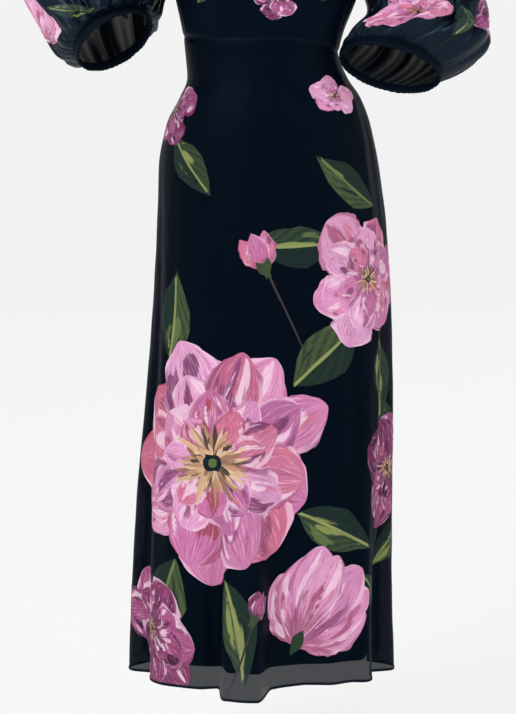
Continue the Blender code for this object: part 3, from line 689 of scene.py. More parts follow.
def sleeve_place(side):
    """A sleeve: a turns round it from the underarm seam, b runs from the armhole to the cuff."""
    name = SIDES[side]

    def place(a, b, worn=True):
        psi = math.pi * a
        sections = sleeve_sections(psi, side)
        plain = through(sections, b, each=True)
        wave = GATHER_DEPTH * np.sin(past(b, GATHER_REACH) * math.pi) * np.cos(GATHERS * psi)
        if worn:
            wave = wave + FINE_DEPTH * past(b, FINE_FROM) ** 1.5 * fine_gathers(psi)
            blouse = PUFF[name] * np.sin(past(b, PUFF_FROM) ** 1.6 * math.pi)
            wave = wave + blouse * (0.70 + 0.30 * np.cos(psi - 1.2)) + gather_folds(psi, b, side)
            held = 1 - past(b, HELD_FROM) ** 2
            ease = np.sin(np.clip(1 - b / EASE_REACH, 0, 1) * math.pi)
            wave = wave + EASE_DEPTH * ease * np.cos(EASE_PUCKERS * psi) * (np.cos(psi) > -0.2)
            for angle, half_width, depth, start, end, drift in SLEEVE_CREASES[name]:
                run = np.clip((b - start) / (end - start), 0, 1)
                centre = np.radians(angle + drift * (run - 0.5))
                share = np.abs(turn_between(psi, centre)) / np.radians(half_width)
                wave = wave + SLEEVE_CREASE * depth * held * np.sin(run * math.pi) ** 1.2 * ridge(share)
            wave = wave + 1.6 * ripple(psi, 0.4 * b)
        middle = through(sections_middle(side), b)
        out = plain - middle
        return plain + wave[..., None] * out / np.linalg.norm(out, axis=-1, keepdims=True)
    return place


def gathered_layers(side):
    """How many layers of cloth lie over each other: more towards the cuff and in the folds."""
    def layers(across, down):
        psi = math.pi * across
        fine = 0.5 + 0.5 * fine_gathers(psi)
        folded = np.clip(gather_folds(psi, down, side) / -FOLD_FULL, 0, 1)
        return 1 + past(down, GATHERS_FROM) ** 2 * (0.5 + 0.9 * fine) + FOLD_LAYERS * folded
    return layers


def gather_folds(psi, b, side):
    """Uneven folds that run up from the cuff, each of its own width, depth and length."""
    rng = np.random.default_rng(70 + side)
    out = np.zeros(np.broadcast(psi, b).shape)
    for k in range(GATHER_FOLDS):
        centre = 2 * math.pi * (k + rng.uniform(-0.3, 0.3)) / GATHER_FOLDS
        top, lean = rng.uniform(*FOLD_TOPS), rng.uniform(*FOLD_LEANS)
        wide, depth = rng.uniform(*FOLD_WIDTHS), rng.uniform(*FOLD_DEPTHS)
        run = past(b, top)
        share = np.abs(turn_between(psi, centre + lean * (1 - run))) / (wide * (1.45 - 0.75 * run))
        out = out - depth * np.sin(run ** 1.3 * math.pi) * ridge(share)
    return out


def sections_middle(side):
    """The middle of each section of a sleeve."""
    psi = np.linspace(0, 2 * math.pi, 33)[:-1]
    return sleeve_sections(psi, side).mean(axis=1)


# ---------------------------------------------------------------- the flat cut of each panel
def even_table(run, values, shares):
    """Values over even shares of each row's own length, to either side of its middle."""
    rows = []
    for row in run:
        at = np.where(shares < 0, shares * -row[0], shares * row[-1])
        rows.append(np.interp(at, row, values))
    return np.array(rows)


def from_table(cut, flat):
    """The two places of a panel's own surface that points of its flat cut stand for."""
    u, v = flat[:, 0], flat[:, 1]
    down = np.interp(v, cut["v"], cut["down"])
    edge = np.where(u < 0, np.interp(v, cut["v"], cut["left"]), np.interp(v, cut["v"], cut["right"]))
    share = np.clip(u / edge, -1, 1)
    row = np.interp(v, cut["v"], np.arange(len(cut["v"])))
    table = cut["table"]
    rows, columns = table.shape
    i = np.clip(row.astype(int), 0, rows - 2)
    j = np.clip(((share + 1) / 2 * (columns - 1)).astype(int), 0, columns - 2)
    p, q = row - i, (share + 1) / 2 * (columns - 1) - j
    across = (1 - p) * ((1 - q) * table[i, j] + q * table[i, j + 1])
    across = across + p * ((1 - q) * table[i + 1, j] + q * table[i + 1, j + 1])
    return across, down


def strip_cut(place, step, fine=None):
    """The flat cut of a panel with two side seams: u runs across from its middle line and v down it."""
    a, b = np.linspace(-1, 1, CUT_COLUMNS + 1), np.linspace(0, 1, CUT_ROWS + 1)
    points = place(a[None, :] + 0 * b[:, None], b[:, None] + 0 * a[None, :], False)
    u = run_across(points)
    v = np.concatenate([[0], np.cumsum(np.linalg.norm(np.diff(points, axis=0), axis=2).mean(axis=1))])
    cut = {"v": v, "down": b, "left": -u[:, 0], "right": u[:, -1], "table": even_table(u, a, a),
           "face": place, "limits": ((STEP - 1, 1 - STEP), (STEP, 1 - STEP)), "step": step, "fine": fine}
    length = v[-1]
    level = np.linspace(0, length, int(round(length / step)) + 1)
    if fine:
        start = fine["from"] * length
        close = np.arange(start, length - fine["step"] / 2, fine["step"])
        level = np.concatenate([level[level < start], close, [length]])
    left, right = np.interp(level, v, cut["left"]), np.interp(level, v, cut["right"])
    top, foot = (np.linspace(-left[end], right[end], int(round((left[end] + right[end]) / pitch)) + 1)
                 for end, pitch in ((0, step), (-1, fine["step"] if fine else step)))
    cut["loop"] = np.concatenate([
        np.stack([top, 0 * top], 1), np.stack([right, level], 1)[1:],
        np.stack([foot, 0 * foot + length], 1)[::-1][1:], np.stack([-left, level], 1)[::-1][1:-1]])
    cut["size"] = (float((cut["left"] + cut["right"]).max()), float(length))
    return cut


def bodice_cut(which, side, step):
    """The flat cut of a bodice panel, with its neck and armholes: u across from the middle line, v down."""
    front = which == "front"
    middle = 0.0 if front else math.pi * side
    turns = np.linspace(-math.pi / 2, math.pi / 2, CUT_COLUMNS + 1)
    z = np.concatenate([np.linspace(SHOULDER_NECK_Z, YOKE_FOOT_Z, YOKE_ROWS),
                        np.linspace(YOKE_FOOT_Z, CUT_FOOT_Z, BODY_ROWS)[1:]])
    phi = turns if front else middle - side * turns
    points = figure(phi[None, :] + 0 * z[:, None], z[:, None] + 0 * turns[None, :])
    u = run_across(points)
    v = run_along(points[:, SHOULDER_COLUMN])
    cut = {"v": v, "down": z, "left": -u[:, 0], "right": u[:, -1], "face": bodice_worn(which),
           "table": even_table(u, phi, turns / (math.pi / 2)), "limits": ((-math.tau, math.tau), (-1, 1)),
           "step": step, "fine": None}
    if front:
        marks = (-1, -SHOULDER_SHARE, -NECK_SHARE, NECK_SHARE, SHOULDER_SHARE, 1)
    else:
        marks = (-1, 2 * NECK_SHARE - 1, 2 * SHOULDER_SHARE - 1, 1)
    top = [np.linspace(low, high, STRETCH + 1)[:-1] for low, high in zip(marks, marks[1:])]
    top = np.concatenate(top + [[1.0]])
    count = len(top)
    rim = np.concatenate([np.stack([top, 0 * top], 1),
                          np.stack([0 * top + 1, np.linspace(0, 1, count)], 1)[1:],
                          np.stack([np.linspace(1, -1, count), 0 * top + 1], 1)[1:],
                          np.stack([0 * top - 1, np.linspace(1, 0, count)], 1)[1:-1]])
    across, down = rim.T
    if front:
        edge_phi, edge_z = bodice_angles(np.abs(across), np.where(across >= 0, 1, -1), down, which)
    else:
        edge_phi, edge_z = bodice_angles((across + 1) / 2, np.full(len(rim), side), down, which)
    edge_v = np.interp(-edge_z, -z, v)
    row = np.interp(edge_v, v, np.arange(len(v)))
    edge_u = []
    for at, angle in zip(row, edge_phi):
        i = min(int(at), len(v) - 2)
        turn = angle if front else side * (middle - angle)
        low, high = (np.interp(turn, turns, u[k]) for k in (i, i + 1))
        edge_u.append(low + (at - i) * (high - low))
    outline = np.stack([edge_u, edge_v], 1)
    corners = [0] + [STRETCH * k for k in range(1, len(marks) - 1)] + [k * (count - 1) for k in (1, 2, 3)]
    cut["loop"] = even_loop(outline, corners, step)
    high, low = cut["loop"].max(axis=0), cut["loop"].min(axis=0)
    cut["size"] = (float(high[0] - low[0]), float(high[1] - low[1]))
    return cut


def even_loop(outline, corners, step):
    """The same closed outline in even steps between its corners."""
    out = []
    for first, last in zip(corners, corners[1:] + [len(outline)]):
        stretch = outline[np.arange(first, last + 1) % len(outline)]
        run = run_along(stretch)
        at = np.linspace(0, run[-1], max(int(round(run[-1] / step)), 1) + 1)[:-1]
        out.append(np.stack([np.interp(at, run, stretch[:, k]) for k in (0, 1)], 1))
    return np.concatenate(out)


def inside(points, outline):
    """Which points lie inside a closed outline."""
    x1, y1 = outline.T
    x2, y2 = np.roll(outline, -1, axis=0).T
    rise = np.where(y2 == y1, 1e-12, y2 - y1)
    found = []
    for part in np.array_split(points, max(len(points) // 4000, 1)):
        x, y = part[:, 0:1], part[:, 1:2]
        crosses = (y1 > y) != (y2 > y)
        found.append((crosses & (x < (x2 - x1) * (y - y1) / rise + x1)).sum(axis=1) % 2 == 1)
    return np.concatenate(found)


def tree_of(points):
    tree = KDTree(len(points))
    for i, point in enumerate(points):
        tree.insert(tuple(point) if len(point) == 3 else (*point, 0), i)
    tree.balance()
    return tree


def spread(tree, points):
    """How far each flat point is from the tree's nearest."""
    return np.array([tree.find((*point, 0))[2] for point in points])


def inner_points(cut):
    """Points within a flat cut: rows close to its edges for the seams, and a staggered grid."""
    loop, step, fine = cut["loop"], cut["step"], cut["fine"]
    low, high = loop.min(axis=0), loop.max(axis=0)
    dense = []
    for one, other in zip(loop, np.roll(loop, -1, axis=0)):
        count = max(int(np.linalg.norm(other - one) / EDGE_STEP), 1)
        dense.append(one + (other - one) * (np.arange(count) / count)[:, None])
    edge = tree_of(np.concatenate(dense))
    ahead = np.roll(loop, -1, axis=0) - np.roll(loop, 1, axis=0)
    inwards = np.stack([-ahead[:, 1], ahead[:, 0]], 1) / np.linalg.norm(ahead, axis=1, keepdims=True)
    if not inside(loop[:1] + (inwards[:1] + inwards[1:2]) * STEP, loop).all():
        inwards = -inwards
    rows = []
    for depth in SEAM_ROWS:
        row = loop + depth * inwards
        row = row[inside(row, loop)]
        rows.append(row[spread(edge, row) > ROW_CLEAR * depth])
    grid, level, k = [], low[1], 0
    while level < high[1]:
        pitch = fine["step"] if fine and level > low[1] + fine["from"] * (high[1] - low[1]) else step
        level += pitch * ROW_PITCH
        k += 1
        u = np.arange(low[0] + (k % 2) * pitch / 2, high[0], pitch)
        grid.append(np.stack([u, 0 * u + level], 1))
    grid = np.concatenate(grid)
    grid = grid[inside(grid, loop)]
    gap = fine["step"] if fine else step
    grid = grid[spread(edge, grid) > SEAM_ROWS[-1] + GRID_CLEAR * gap]
    return np.concatenate(rows + [grid]), edge


def shown_edges(cut, edge, motifs):
    """The stretches of the motifs' outlines that no later motif covers, as points and pairs."""
    def within(points):
        good = inside(points, cut["loop"])
        good[good] = spread(edge, points[good]) > SEAM_ROWS[-1] + ART_MARGIN
        return good

    lows = np.array([m["outline"].min(axis=0) for m in motifs])
    highs = np.array([m["outline"].max(axis=0) for m in motifs])
    points, pairs = [], []
    for k, motif in enumerate(motifs):
        outline = motif["outline"]
        open_cloth = within(outline)
        kept = open_cloth.copy()
        for j in range(k + 1, len(motifs)):
            if not kept.any():
                break
            if (lows[j] > highs[k]).any() or (highs[j] < lows[k]).any():
                continue
            kept[kept] = ~inside(outline[kept], motifs[j]["outline"])
        near = kept | np.roll(kept, 1) | np.roll(kept, -1)
        near &= open_cloth
        base = len(points)
        index = np.cumsum(near) - 1 + base
        points.extend(outline[near])
        after = np.roll(np.arange(len(outline)), -1)
        for i in np.nonzero(near & near[after])[0]:
            pairs.append((int(index[i]), int(index[after[i]])))
    return np.array(points).reshape(-1, 2), pairs


def joined_panel(cut, motifs):
    """The flat cut as triangles that follow the motifs' outlines, and each triangle's motif."""
    loop = cut["loop"]
    grid, edge = inner_points(cut)
    art, pairs = shown_edges(cut, edge, motifs) if motifs else (np.zeros((0, 2)), [])
    if len(art):
        grid = grid[spread(tree_of(art), grid) > ART_CLEAR * cut["step"]]
    points = np.concatenate([loop, grid, art])
    n, start = len(loop), len(loop) + len(grid)
    edges = [(i, (i + 1) % n) for i in range(n)] + [(start + i, start + j) for i, j in pairs]
    found = delaunay_2d_cdt([Vector(p) for p in points], edges, [], 0, SAME_POINT)
    flat = np.array([tuple(p) for p in found[0]])
    faces = np.array([f for f in found[2] if len(f) == 3])
    middle = flat[faces].mean(axis=1)
    good = inside(middle, loop)
    faces, middle = faces[good], middle[good]
    owner = np.full(len(faces), -1)
    for k, motif in enumerate(motifs):
        low, high = motif["outline"].min(axis=0), motif["outline"].max(axis=0)
        near = np.nonzero(((middle >= low) & (middle <= high)).all(axis=1))[0]
        if len(near):
            owner[near[inside(middle[near], motif["outline"])]] = k
    return flat, faces, owner


def laid_out(cut, flat):
    """Where points of the flat cut lie on the worn dress, and the way the cloth faces there."""
    across, down = from_table(cut, flat)
    (low, high), (top, foot) = cut["limits"]
    normal = slopes(cut["face"], np.clip(across, low, high), np.clip(down, top, foot))[2]
    return cut["face"](across, down), normal


def sewn_round(cut, flat, outer):
    """For a tube: each point's own number, or that of its twin across the seam."""
    v = cut["v"]
    right = np.nonzero(np.abs(flat[:, 0] - np.interp(flat[:, 1], v, cut["right"])) < SAME_POINT)[0]
    left = np.nonzero(np.abs(flat[:, 0] + np.interp(flat[:, 1], v, cut["left"])) < SAME_POINT)[0]
    tree = tree_of(outer[left])
    twin = np.arange(len(outer))
    for i in right:
        _, j, gap = tree.find(outer[i])
        if gap < SAME_PLACE:
            twin[i] = left[j]
    return twin, right


def away_from_axis(points):
    return points * np.array((1, 1, 0))


def one_layer(across, down):
    return np.ones(len(across))


def cloth_shell(name, cut, motifs=(), thickness=CHIFFON, away=away_from_axis, around=False, layers=one_layer):
    """A thin closed shell over a flat cut, with its print as coordinates and paints at its corners."""
    flat, faces, owner = joined_panel(cut, motifs)
    outer, outwards = laid_out(cut, flat)
    corners = outer[faces]
    facing = np.cross(corners[:, 1] - corners[:, 0], corners[:, 2] - corners[:, 0])
    if np.sum(facing * away(corners.mean(axis=1))) < 0:
        faces = faces[:, ::-1]
    if np.sum(outwards * away(outer)) < 0:
        outwards = -outwards
    cut["area"] = float(np.linalg.norm(facing, axis=1).sum() / 2)
    shared = faces
    if around:
        twin, right = sewn_round(cut, flat, outer)
        np.add.at(outwards, twin[right], outwards[right])
        outwards = unit(outwards)
        shared = twin[faces]
    used, shared = np.unique(shared, return_inverse=True)
    shared = shared.reshape(-1, 3)
    top, under = outer[used], outer[used] - thickness * outwards[used]
    count = len(used)
    sides = {}
    for face in shared.tolist():
        for pair in zip(face, face[1:] + face[:1]):
            if pair[::-1] in sides:
                del sides[pair[::-1]]
            else:
                sides[pair] = True
    rim = np.array([(q, p, p + count, q + count) for p, q in sides])
    polygons = shared.tolist() + (shared[:, ::-1] + count).tolist() + rim.tolist()
    mesh = bpy.data.meshes.new(name)
    mesh.from_pydata(np.concatenate([top, under]).tolist(), [], polygons)
    values = painted(flat, faces, owner, motifs)
    rest = 4 * len(rim)
    for field, (kind, value) in values.items():
        turned = value.reshape(len(faces), 3, -1)[:, ::-1].reshape(3 * len(faces), -1)
        write_corners(mesh, field, kind, np.concatenate([value, turned, np.zeros((rest, value.shape[1]))]))
    depth = layers(*from_table(cut, flat))[faces]
    depths = [depth.ravel(), depth[:, ::-1].ravel(), np.ones(rest)]
    write_corners(mesh, "layers", "FLOAT", np.concatenate(depths))
    uv = mesh.uv_layers.new(name="cloth")
    places = [flat[faces].reshape(-1, 2), flat[faces[:, ::-1]].reshape(-1, 2), np.zeros((rest, 2))]
    uv.uv.foreach_set("vector", np.concatenate(places).astype(np.float32).ravel())
    mesh.shade_smooth()
    mesh.set_sharp_from_angle(angle=SHARP_ANGLE)
    return added(name, mesh)


def write_corners(mesh, name, kind, values):
    layer = mesh.attributes.new(name, kind, "CORNER")
    field = {"FLOAT_VECTOR": "vector", "FLOAT_COLOR": "color", "FLOAT": "value"}[kind]
    layer.data.foreach_set(field, values.astype(np.float32).ravel())


def stroke(mark, t, a):
    """How strongly a brush stroke covers each place of a petal or leaf."""
    run = np.clip((t - mark["low"]) / (mark["high"] - mark["low"]), 0, 1)
    beside = (a - mark["middle"] - mark["lean"] * (run - 0.5)) / mark["wide"]
    return np.sin(math.pi * run) ** 0.6 * np.exp(-beside ** 2)


def painted(flat, faces, owner, motifs):
    """Brush coordinates, paints, kind and brush strokes at each corner of each face."""
    corners = flat[faces].reshape(-1, 2)
    brush, kind = np.zeros((len(corners), 3)), np.zeros((len(corners), 1))
    paint, shade, wash = (np.zeros((len(corners), 4)) for _ in range(3))
    for colour in (paint, shade, wash):
        colour[:, 3] = 1
    owners = np.repeat(owner, 3)
    for k, motif in enumerate(motifs):
        at = np.nonzero(owners == k)[0]
        if not len(at):
            continue
        t, a = motif["find"](corners[at])
        brush[at] = np.stack([t, np.clip(a, -1.3, 1.3), 0 * t + motif["seed"]], 1)
        paint[at, :3] = motif["paint"]
        shade[at, :3] = motif["shade"]
        kind[at] = motif["kind"]
        for mark in motif.get("marks", ()):
            wash[at, mark["layer"]] += mark["strength"] * stroke(mark, t, a)
    return {"brush": ("FLOAT_VECTOR", brush), "paint": ("FLOAT_COLOR", paint),
            "shade": ("FLOAT_COLOR", shade), "kind": ("FLOAT", kind), "wash": ("FLOAT_COLOR", wash)}


# ---------------------------------------------------------------- the floral print, made by rule
def ink(red, green, blue):
    """A screen colour as light."""
    value = np.array((red, green, blue)) / 255
    return tuple(np.where(value > 0.04045, ((value + 0.055) / 1.055) ** 2.4, value / 12.92))


NAVY = ink(1, 7, 17)
PINKS = ((214, 144, 188), (204, 128, 172), (190, 112, 162), (222, 160, 200), (206, 120, 150), (198, 108, 138))
PINK_SHADES = ((146, 74, 118), (156, 80, 112), (132, 66, 112), (164, 92, 136), (158, 72, 92), (120, 58, 98))
MAGENTAS = ((150, 70, 120), (132, 54, 100), (168, 86, 134), (116, 44, 90))
MAGENTA_SHADES = ((78, 28, 64), (66, 24, 54), (96, 36, 76), (56, 22, 50))
PALE = ink(236, 200, 220)
WARM = ((206, 118, 136), (190, 100, 112), (214, 140, 150))
LEAVES = ((64, 78, 54), (52, 68, 50), (76, 90, 58))
LEAF_SHADES = ((30, 44, 40), (24, 38, 36), (36, 50, 40))
LEAF_LIGHTS = ((134, 144, 84), (108, 122, 72), (150, 156, 98))
STEMS = ((66, 58, 62), (58, 66, 52))
STAMENS = ((206, 170, 138), (182, 142, 112), (146, 108, 88), (220, 188, 156))
HEART = ((34, 46, 46), (24, 34, 38))

PETAL, LEAF, LINE = 1.0, 2.0, 3.0
PETAL_STEPS, SMALL_PETAL_STEPS, LARGE_PETAL, LEAF_STEPS = 31, 17, 0.05, 15
PETAL_LAYERS = (0, 0, 0, 1, 1, 1, 1, 2)
LEAF_LAYERS = (0, 0, 1, 1, 2)


def petal_profile(t):
    return np.sin(math.pi * np.clip(t, 0, 1) ** 1.5) ** 0.66


def lance_profile(t):
    return np.sin(math.pi * np.clip(t, 0, 1) ** 1.15) ** 0.95


def leaf_profile(t):
    return np.sin(math.pi * np.clip(t, 0, 1) ** 0.85) ** 1.1


def round_profile(t):
    return np.sin(math.pi * np.clip(t, 0, 1)) ** 0.5


def even_profile(t):
    return np.ones_like(t)


def turning(angle):
    return np.array(((math.cos(angle), -math.sin(angle)), (math.sin(angle), math.cos(angle))))


def eased(count):
    """Shares from 0 to 1 that lie closer together at both ends."""
    return 0.5 - 0.5 * np.cos(np.linspace(0, math.pi, count))


def blade(centre, press, turn, start, length, half_width, bend, profile):
    """A long shape's own coordinates: t along it and a across it, from -1 to 1."""
    turned = press @ turning(turn)
    back = np.linalg.inv(turned)

    def lay(t, a):
        local = np.stack([start + length * t, half_width * profile(t) * a + bend * length * t * t], -1)
        return np.array(centre) + local @ turned.T

    def find(points):
        local = (points - np.array(centre)) @ back.T
        t = (local[:, 0] - start) / length
        wide = half_width * np.maximum(profile(np.clip(t, 0, 1)), 0.08)
        return t, (local[:, 1] - bend * length * t * t) / wide
    return lay, find


def wavy(rng, amount):
    """An uneven edge, as a loaded brush leaves it: a share close to 1 along it."""
    turns = rng.uniform((1.2, 3.4, 7.0, 12.0), (2.6, 6.0, 11.0, 19.0))
    starts = rng.uniform(0, 6.3, 4)
    shares = amount * np.array((1.0, 0.7, 0.45, 0.3))
    return lambda t: 1 + (shares * np.sin(turns * math.pi * np.asarray(t)[..., None] + starts)).sum(axis=-1)


def whole_blade(rng, shape, steps, amount, paint, shade, kind, seed):
    """A long shape with its two uneven edges, as one motif."""
    lay, find = shape
    t = eased(steps)
    one, other = wavy(rng, amount), wavy(rng, amount)
    outline = np.concatenate([lay(t, one(t)), lay(t, -other(t))[::-1][1:-1]])
    return {"outline": outline, "find": find, "paint": paint, "shade": shade, "kind": kind, "seed": seed}


def strokes(rng, count, layers, wide, strength=(0.7, 1.2)):
    """Brush strokes that run along a petal or a leaf; layer 0 is light, 1 is deep and 2 is warm."""
    out = []
    for _ in range(count):
        low = rng.uniform(-0.05, 0.66)
        out.append({"low": low, "high": min(low + rng.uniform(0.22, 0.55), 1.04),
                    "middle": rng.uniform(-0.8, 0.8), "lean": rng.uniform(-0.4, 0.4),
                    "wide": rng.uniform(*wide), "strength": rng.uniform(*strength),
                    "layer": int(rng.choice(layers))})
    return out


def toned(rng, colours, spread=0.10):
    base = np.array(ink(*colours[rng.integers(len(colours))]))
    return tuple(np.clip(base * (1 + rng.uniform(-spread, spread)), 0, 1))


def petal(rng, centre, press, turn, start, length, half_width, bend, colours, shades, marks, profile):
    shape = blade(centre, press, turn, start, length, half_width, bend, profile)
    paint, shade, seed = toned(rng, colours), toned(rng, shades), rng.uniform(0, 9)
    steps = PETAL_STEPS if length > LARGE_PETAL else SMALL_PETAL_STEPS
    out = whole_blade(rng, shape, steps, 0.10, paint, shade, PETAL, seed)
    out["marks"] = strokes(rng, marks, PETAL_LAYERS, (0.05, 0.26))
    return [out]


def heart(rng, centre, press, radius, stamens):
    """The middle of an open flower: a dark eye with rays of stamens round it."""
    out = []
    for ring, share in ((0, 1.0), (1, 0.72), (2, 0.46)):
        count = stamens // (1 + ring)
        for i in range(count):
            turn = 2 * math.pi * (i + rng.uniform(0, 0.9)) / count
            length = radius * share * rng.uniform(0.55, 1.2)
            shape = blade(centre, press, turn, radius * 0.14, length, radius * rng.uniform(0.035, 0.085),
                          rng.uniform(-0.35, 0.35), lance_profile)
            tones = STAMENS if rng.uniform() < 0.75 else HEART
            paint, shade = toned(rng, tones, 0.2), toned(rng, STAMENS[1:3])
            out.append(whole_blade(rng, shape, 6, 0.12, paint, shade, LINE, rng.uniform(0, 9)))
    for share, tones in ((0.26, HEART), (0.13, LEAF_LIGHTS[1:2])):
        half = share * radius
        shape = blade(centre, press, rng.uniform(0, 6), -half, 2 * share * radius, half, 0.0, round_profile)
        out.append(whole_blade(rng, shape, 11, 0.16, toned(rng, tones), ink(*HEART[1]), LINE, 3.1))
    return out


def pressed(wide, tall, turn):
    """A flower seen at a slant: its face drawn narrower one way and longer the other."""
    spin = turning(turn)
    return spin @ np.diag((wide, tall)) @ spin.T


PALETTES = {"pink": (PINKS, PINK_SHADES), "magenta": (MAGENTAS, MAGENTA_SHADES),
            "blush": (PINKS[:1] + PINKS[3:4], PINK_SHADES[:2])}


def flower(rng, centre, size, turn, press, palette, rings, marks, stamens, heart_share):
    """An open flower of petals in rings; each ring is (petals, length share, width share)."""
    colours, shades = PALETTES[palette]
    out = []
    for petals, long, wide in rings:
        offset = rng.uniform(0, 6.3)
        for i in rng.permutation(petals):
            at = turn + offset + 2 * math.pi * (i + rng.uniform(-0.22, 0.22)) / petals
            length = size * long * rng.uniform(0.86, 1.1)
            out += petal(rng, centre, press, at, size * 0.05, length, size * wide * rng.uniform(0.85, 1.15),
                         rng.uniform(-0.13, 0.13), colours, shades, marks, petal_profile)
    return out + heart(rng, centre, press, size * heart_share, stamens)


def fan_flower(rng, centre, size, turn, press, palette, petals, marks):
    """A flower seen from its side: petals in a fan over a small green cup."""
    colours, shades = PALETTES[palette]
    out = []
    spread = np.linspace(-1.0, 1.0, petals)
    for i in sorted(range(petals), key=lambda k: -abs(spread[k])):
        at = turn + 0.95 * spread[i] + rng.uniform(-0.08, 0.08)
        length = size * (1.0 - 0.22 * abs(spread[i])) * rng.uniform(0.9, 1.08)
        out += petal(rng, centre, press, at, 0.0, length, size * 0.24 * rng.uniform(0.85, 1.15),
                     -0.16 * spread[i], colours, shades, marks, petal_profile)
    cup = blade(centre, press, turn, -0.10 * size, 0.26 * size, 0.075 * size, 0.0, lance_profile)
    out.append(whole_blade(rng, cup, 8, 0.1, toned(rng, LEAVES), toned(rng, LEAF_SHADES), LEAF, 1.7))
    return out


def leaf(rng, root, size, turn, wide, bend):
    """A leaf of two unlike halves with a rib and a few bright strokes."""
    shape = blade(root, np.eye(2), turn, 0.0, size, size * wide, bend, leaf_profile)
    lay, find = shape
    t = eased(LEAF_STEPS)
    out = []
    light_side = 1 if rng.uniform() < 0.5 else -1
    for side in (1, -1):
        edge = wavy(rng, 0.06)
        outline = np.concatenate([lay(t, side * edge(t)), lay(t[::-1][1:-1], 0 * t[1:-1])])
        bright = side == light_side
        paint = toned(rng, LEAVES) if bright else toned(rng, LEAF_SHADES)
        shade = toned(rng, LEAF_SHADES)
        out.append({"outline": outline, "find": find, "paint": paint, "shade": shade, "kind": LEAF,
                    "seed": rng.uniform(0, 9),
                    "marks": strokes(rng, 7 if bright else 4, LEAF_LAYERS, (0.06, 0.20), (0.6, 1.1))})
    rib = blade(root, np.eye(2), turn, 0.0, size * 0.94, size * 0.016, bend * 1.06, even_profile)
    out.append(whole_blade(rng, rib, 9, 0.2, toned(rng, LEAF_LIGHTS), toned(rng, LEAVES), LINE, 2.2))
    return out


def stem(rng, root, size, turn, bend):
    shape = blade(root, np.eye(2), turn, 0.0, size, 0.0015, bend, even_profile)
    return whole_blade(rng, shape, 14, 0.25, toned(rng, STEMS), ink(30, 34, 36), LINE, 4.4), shape


def spray(rng, root, size, turn, bend, leaves):
    """A stem with leaves along it."""
    line, (lay, _) = stem(rng, root, size, turn, bend)
    out = [line]
    for i in range(leaves):
        t = (i + 0.8) / leaves
        spot = lay(np.array([t]), np.array([0.0]))[0]
        side = 1 if i % 2 else -1
        length = size * rng.uniform(0.26, 0.36)
        out += leaf(rng, spot, length, turn + 2 * bend * t + side * rng.uniform(0.5, 0.9),
                    rng.uniform(0.17, 0.22), side * rng.uniform(-0.15, 0.15))
    return out


def bud(rng, root, size, turn, palette):
    """A closed bud on a bent stem."""
    line, (lay, _) = stem(rng, root, size, turn, rng.uniform(-0.3, 0.3))
    tip = lay(np.array([1.0]), np.array([0.0]))[0]
    out = [line]
    colours, shades = PALETTES[palette]
    for lean in (-0.28, 0.28, 0.0):
        out += petal(rng, tip, np.eye(2), turn + lean, 0.0, size * 0.42, size * 0.11, 0.1 * lean,
                     colours, shades, 2, lance_profile)
    for lean in (-0.42, 0.42):
        shape = blade(tip, np.eye(2), turn + lean, -0.01, size * 0.22, size * 0.045, 0.0, lance_profile)
        out.append(whole_blade(rng, shape, 7, 0.1, toned(rng, LEAVES), toned(rng, LEAF_SHADES), LEAF, 5.0))
    return out


# Open flowers: rings of petals, brush strokes on a petal, stamens, and the heart's share of the flower
FLOWERS = {
    "great": (((9, 1.0, 0.30), (8, 0.84, 0.25), (8, 0.62, 0.19), (7, 0.42, 0.14)), 12, 60, 0.30),
    "open": (((6, 1.0, 0.40), (6, 0.78, 0.30), (5, 0.52, 0.22)), 9, 24, 0.20),
    "small": (((5, 1.0, 0.42), (4, 0.7, 0.32)), 5, 14, 0.24),
}
FAN_PETALS, FAN_STROKES, SPRAY_LEAVES, LEAF_SHARE = 7, 9, 5, 0.2


def motif(kind, u, v, size, turn, seed, look=None, press=(1.0, 1.0, 0)):
    """The shapes of one row of a layout; look is a flower's palette or a leaf's width."""
    rng = np.random.default_rng(seed)
    centre, turn = (u, v), math.radians(turn)
    if kind == "leaf":
        return leaf(rng, centre, size, turn, look * LEAF_SHARE, rng.uniform(-0.2, 0.2))
    if kind == "spray":
        return spray(rng, centre, size, turn, rng.uniform(-0.3, 0.3), SPRAY_LEAVES)
    if kind == "bud":
        return bud(rng, centre, size, turn, look)
    wide, tall, slant = press
    face = pressed(wide, tall, math.radians(slant))
    if kind == "fan":
        return fan_flower(rng, centre, size, turn, face, look, FAN_PETALS, FAN_STROKES)
    return flower(rng, centre, size, turn, face, look, *FLOWERS[kind])


def print_of(rows):
    return [shape for row in rows for shape in motif(*row)]


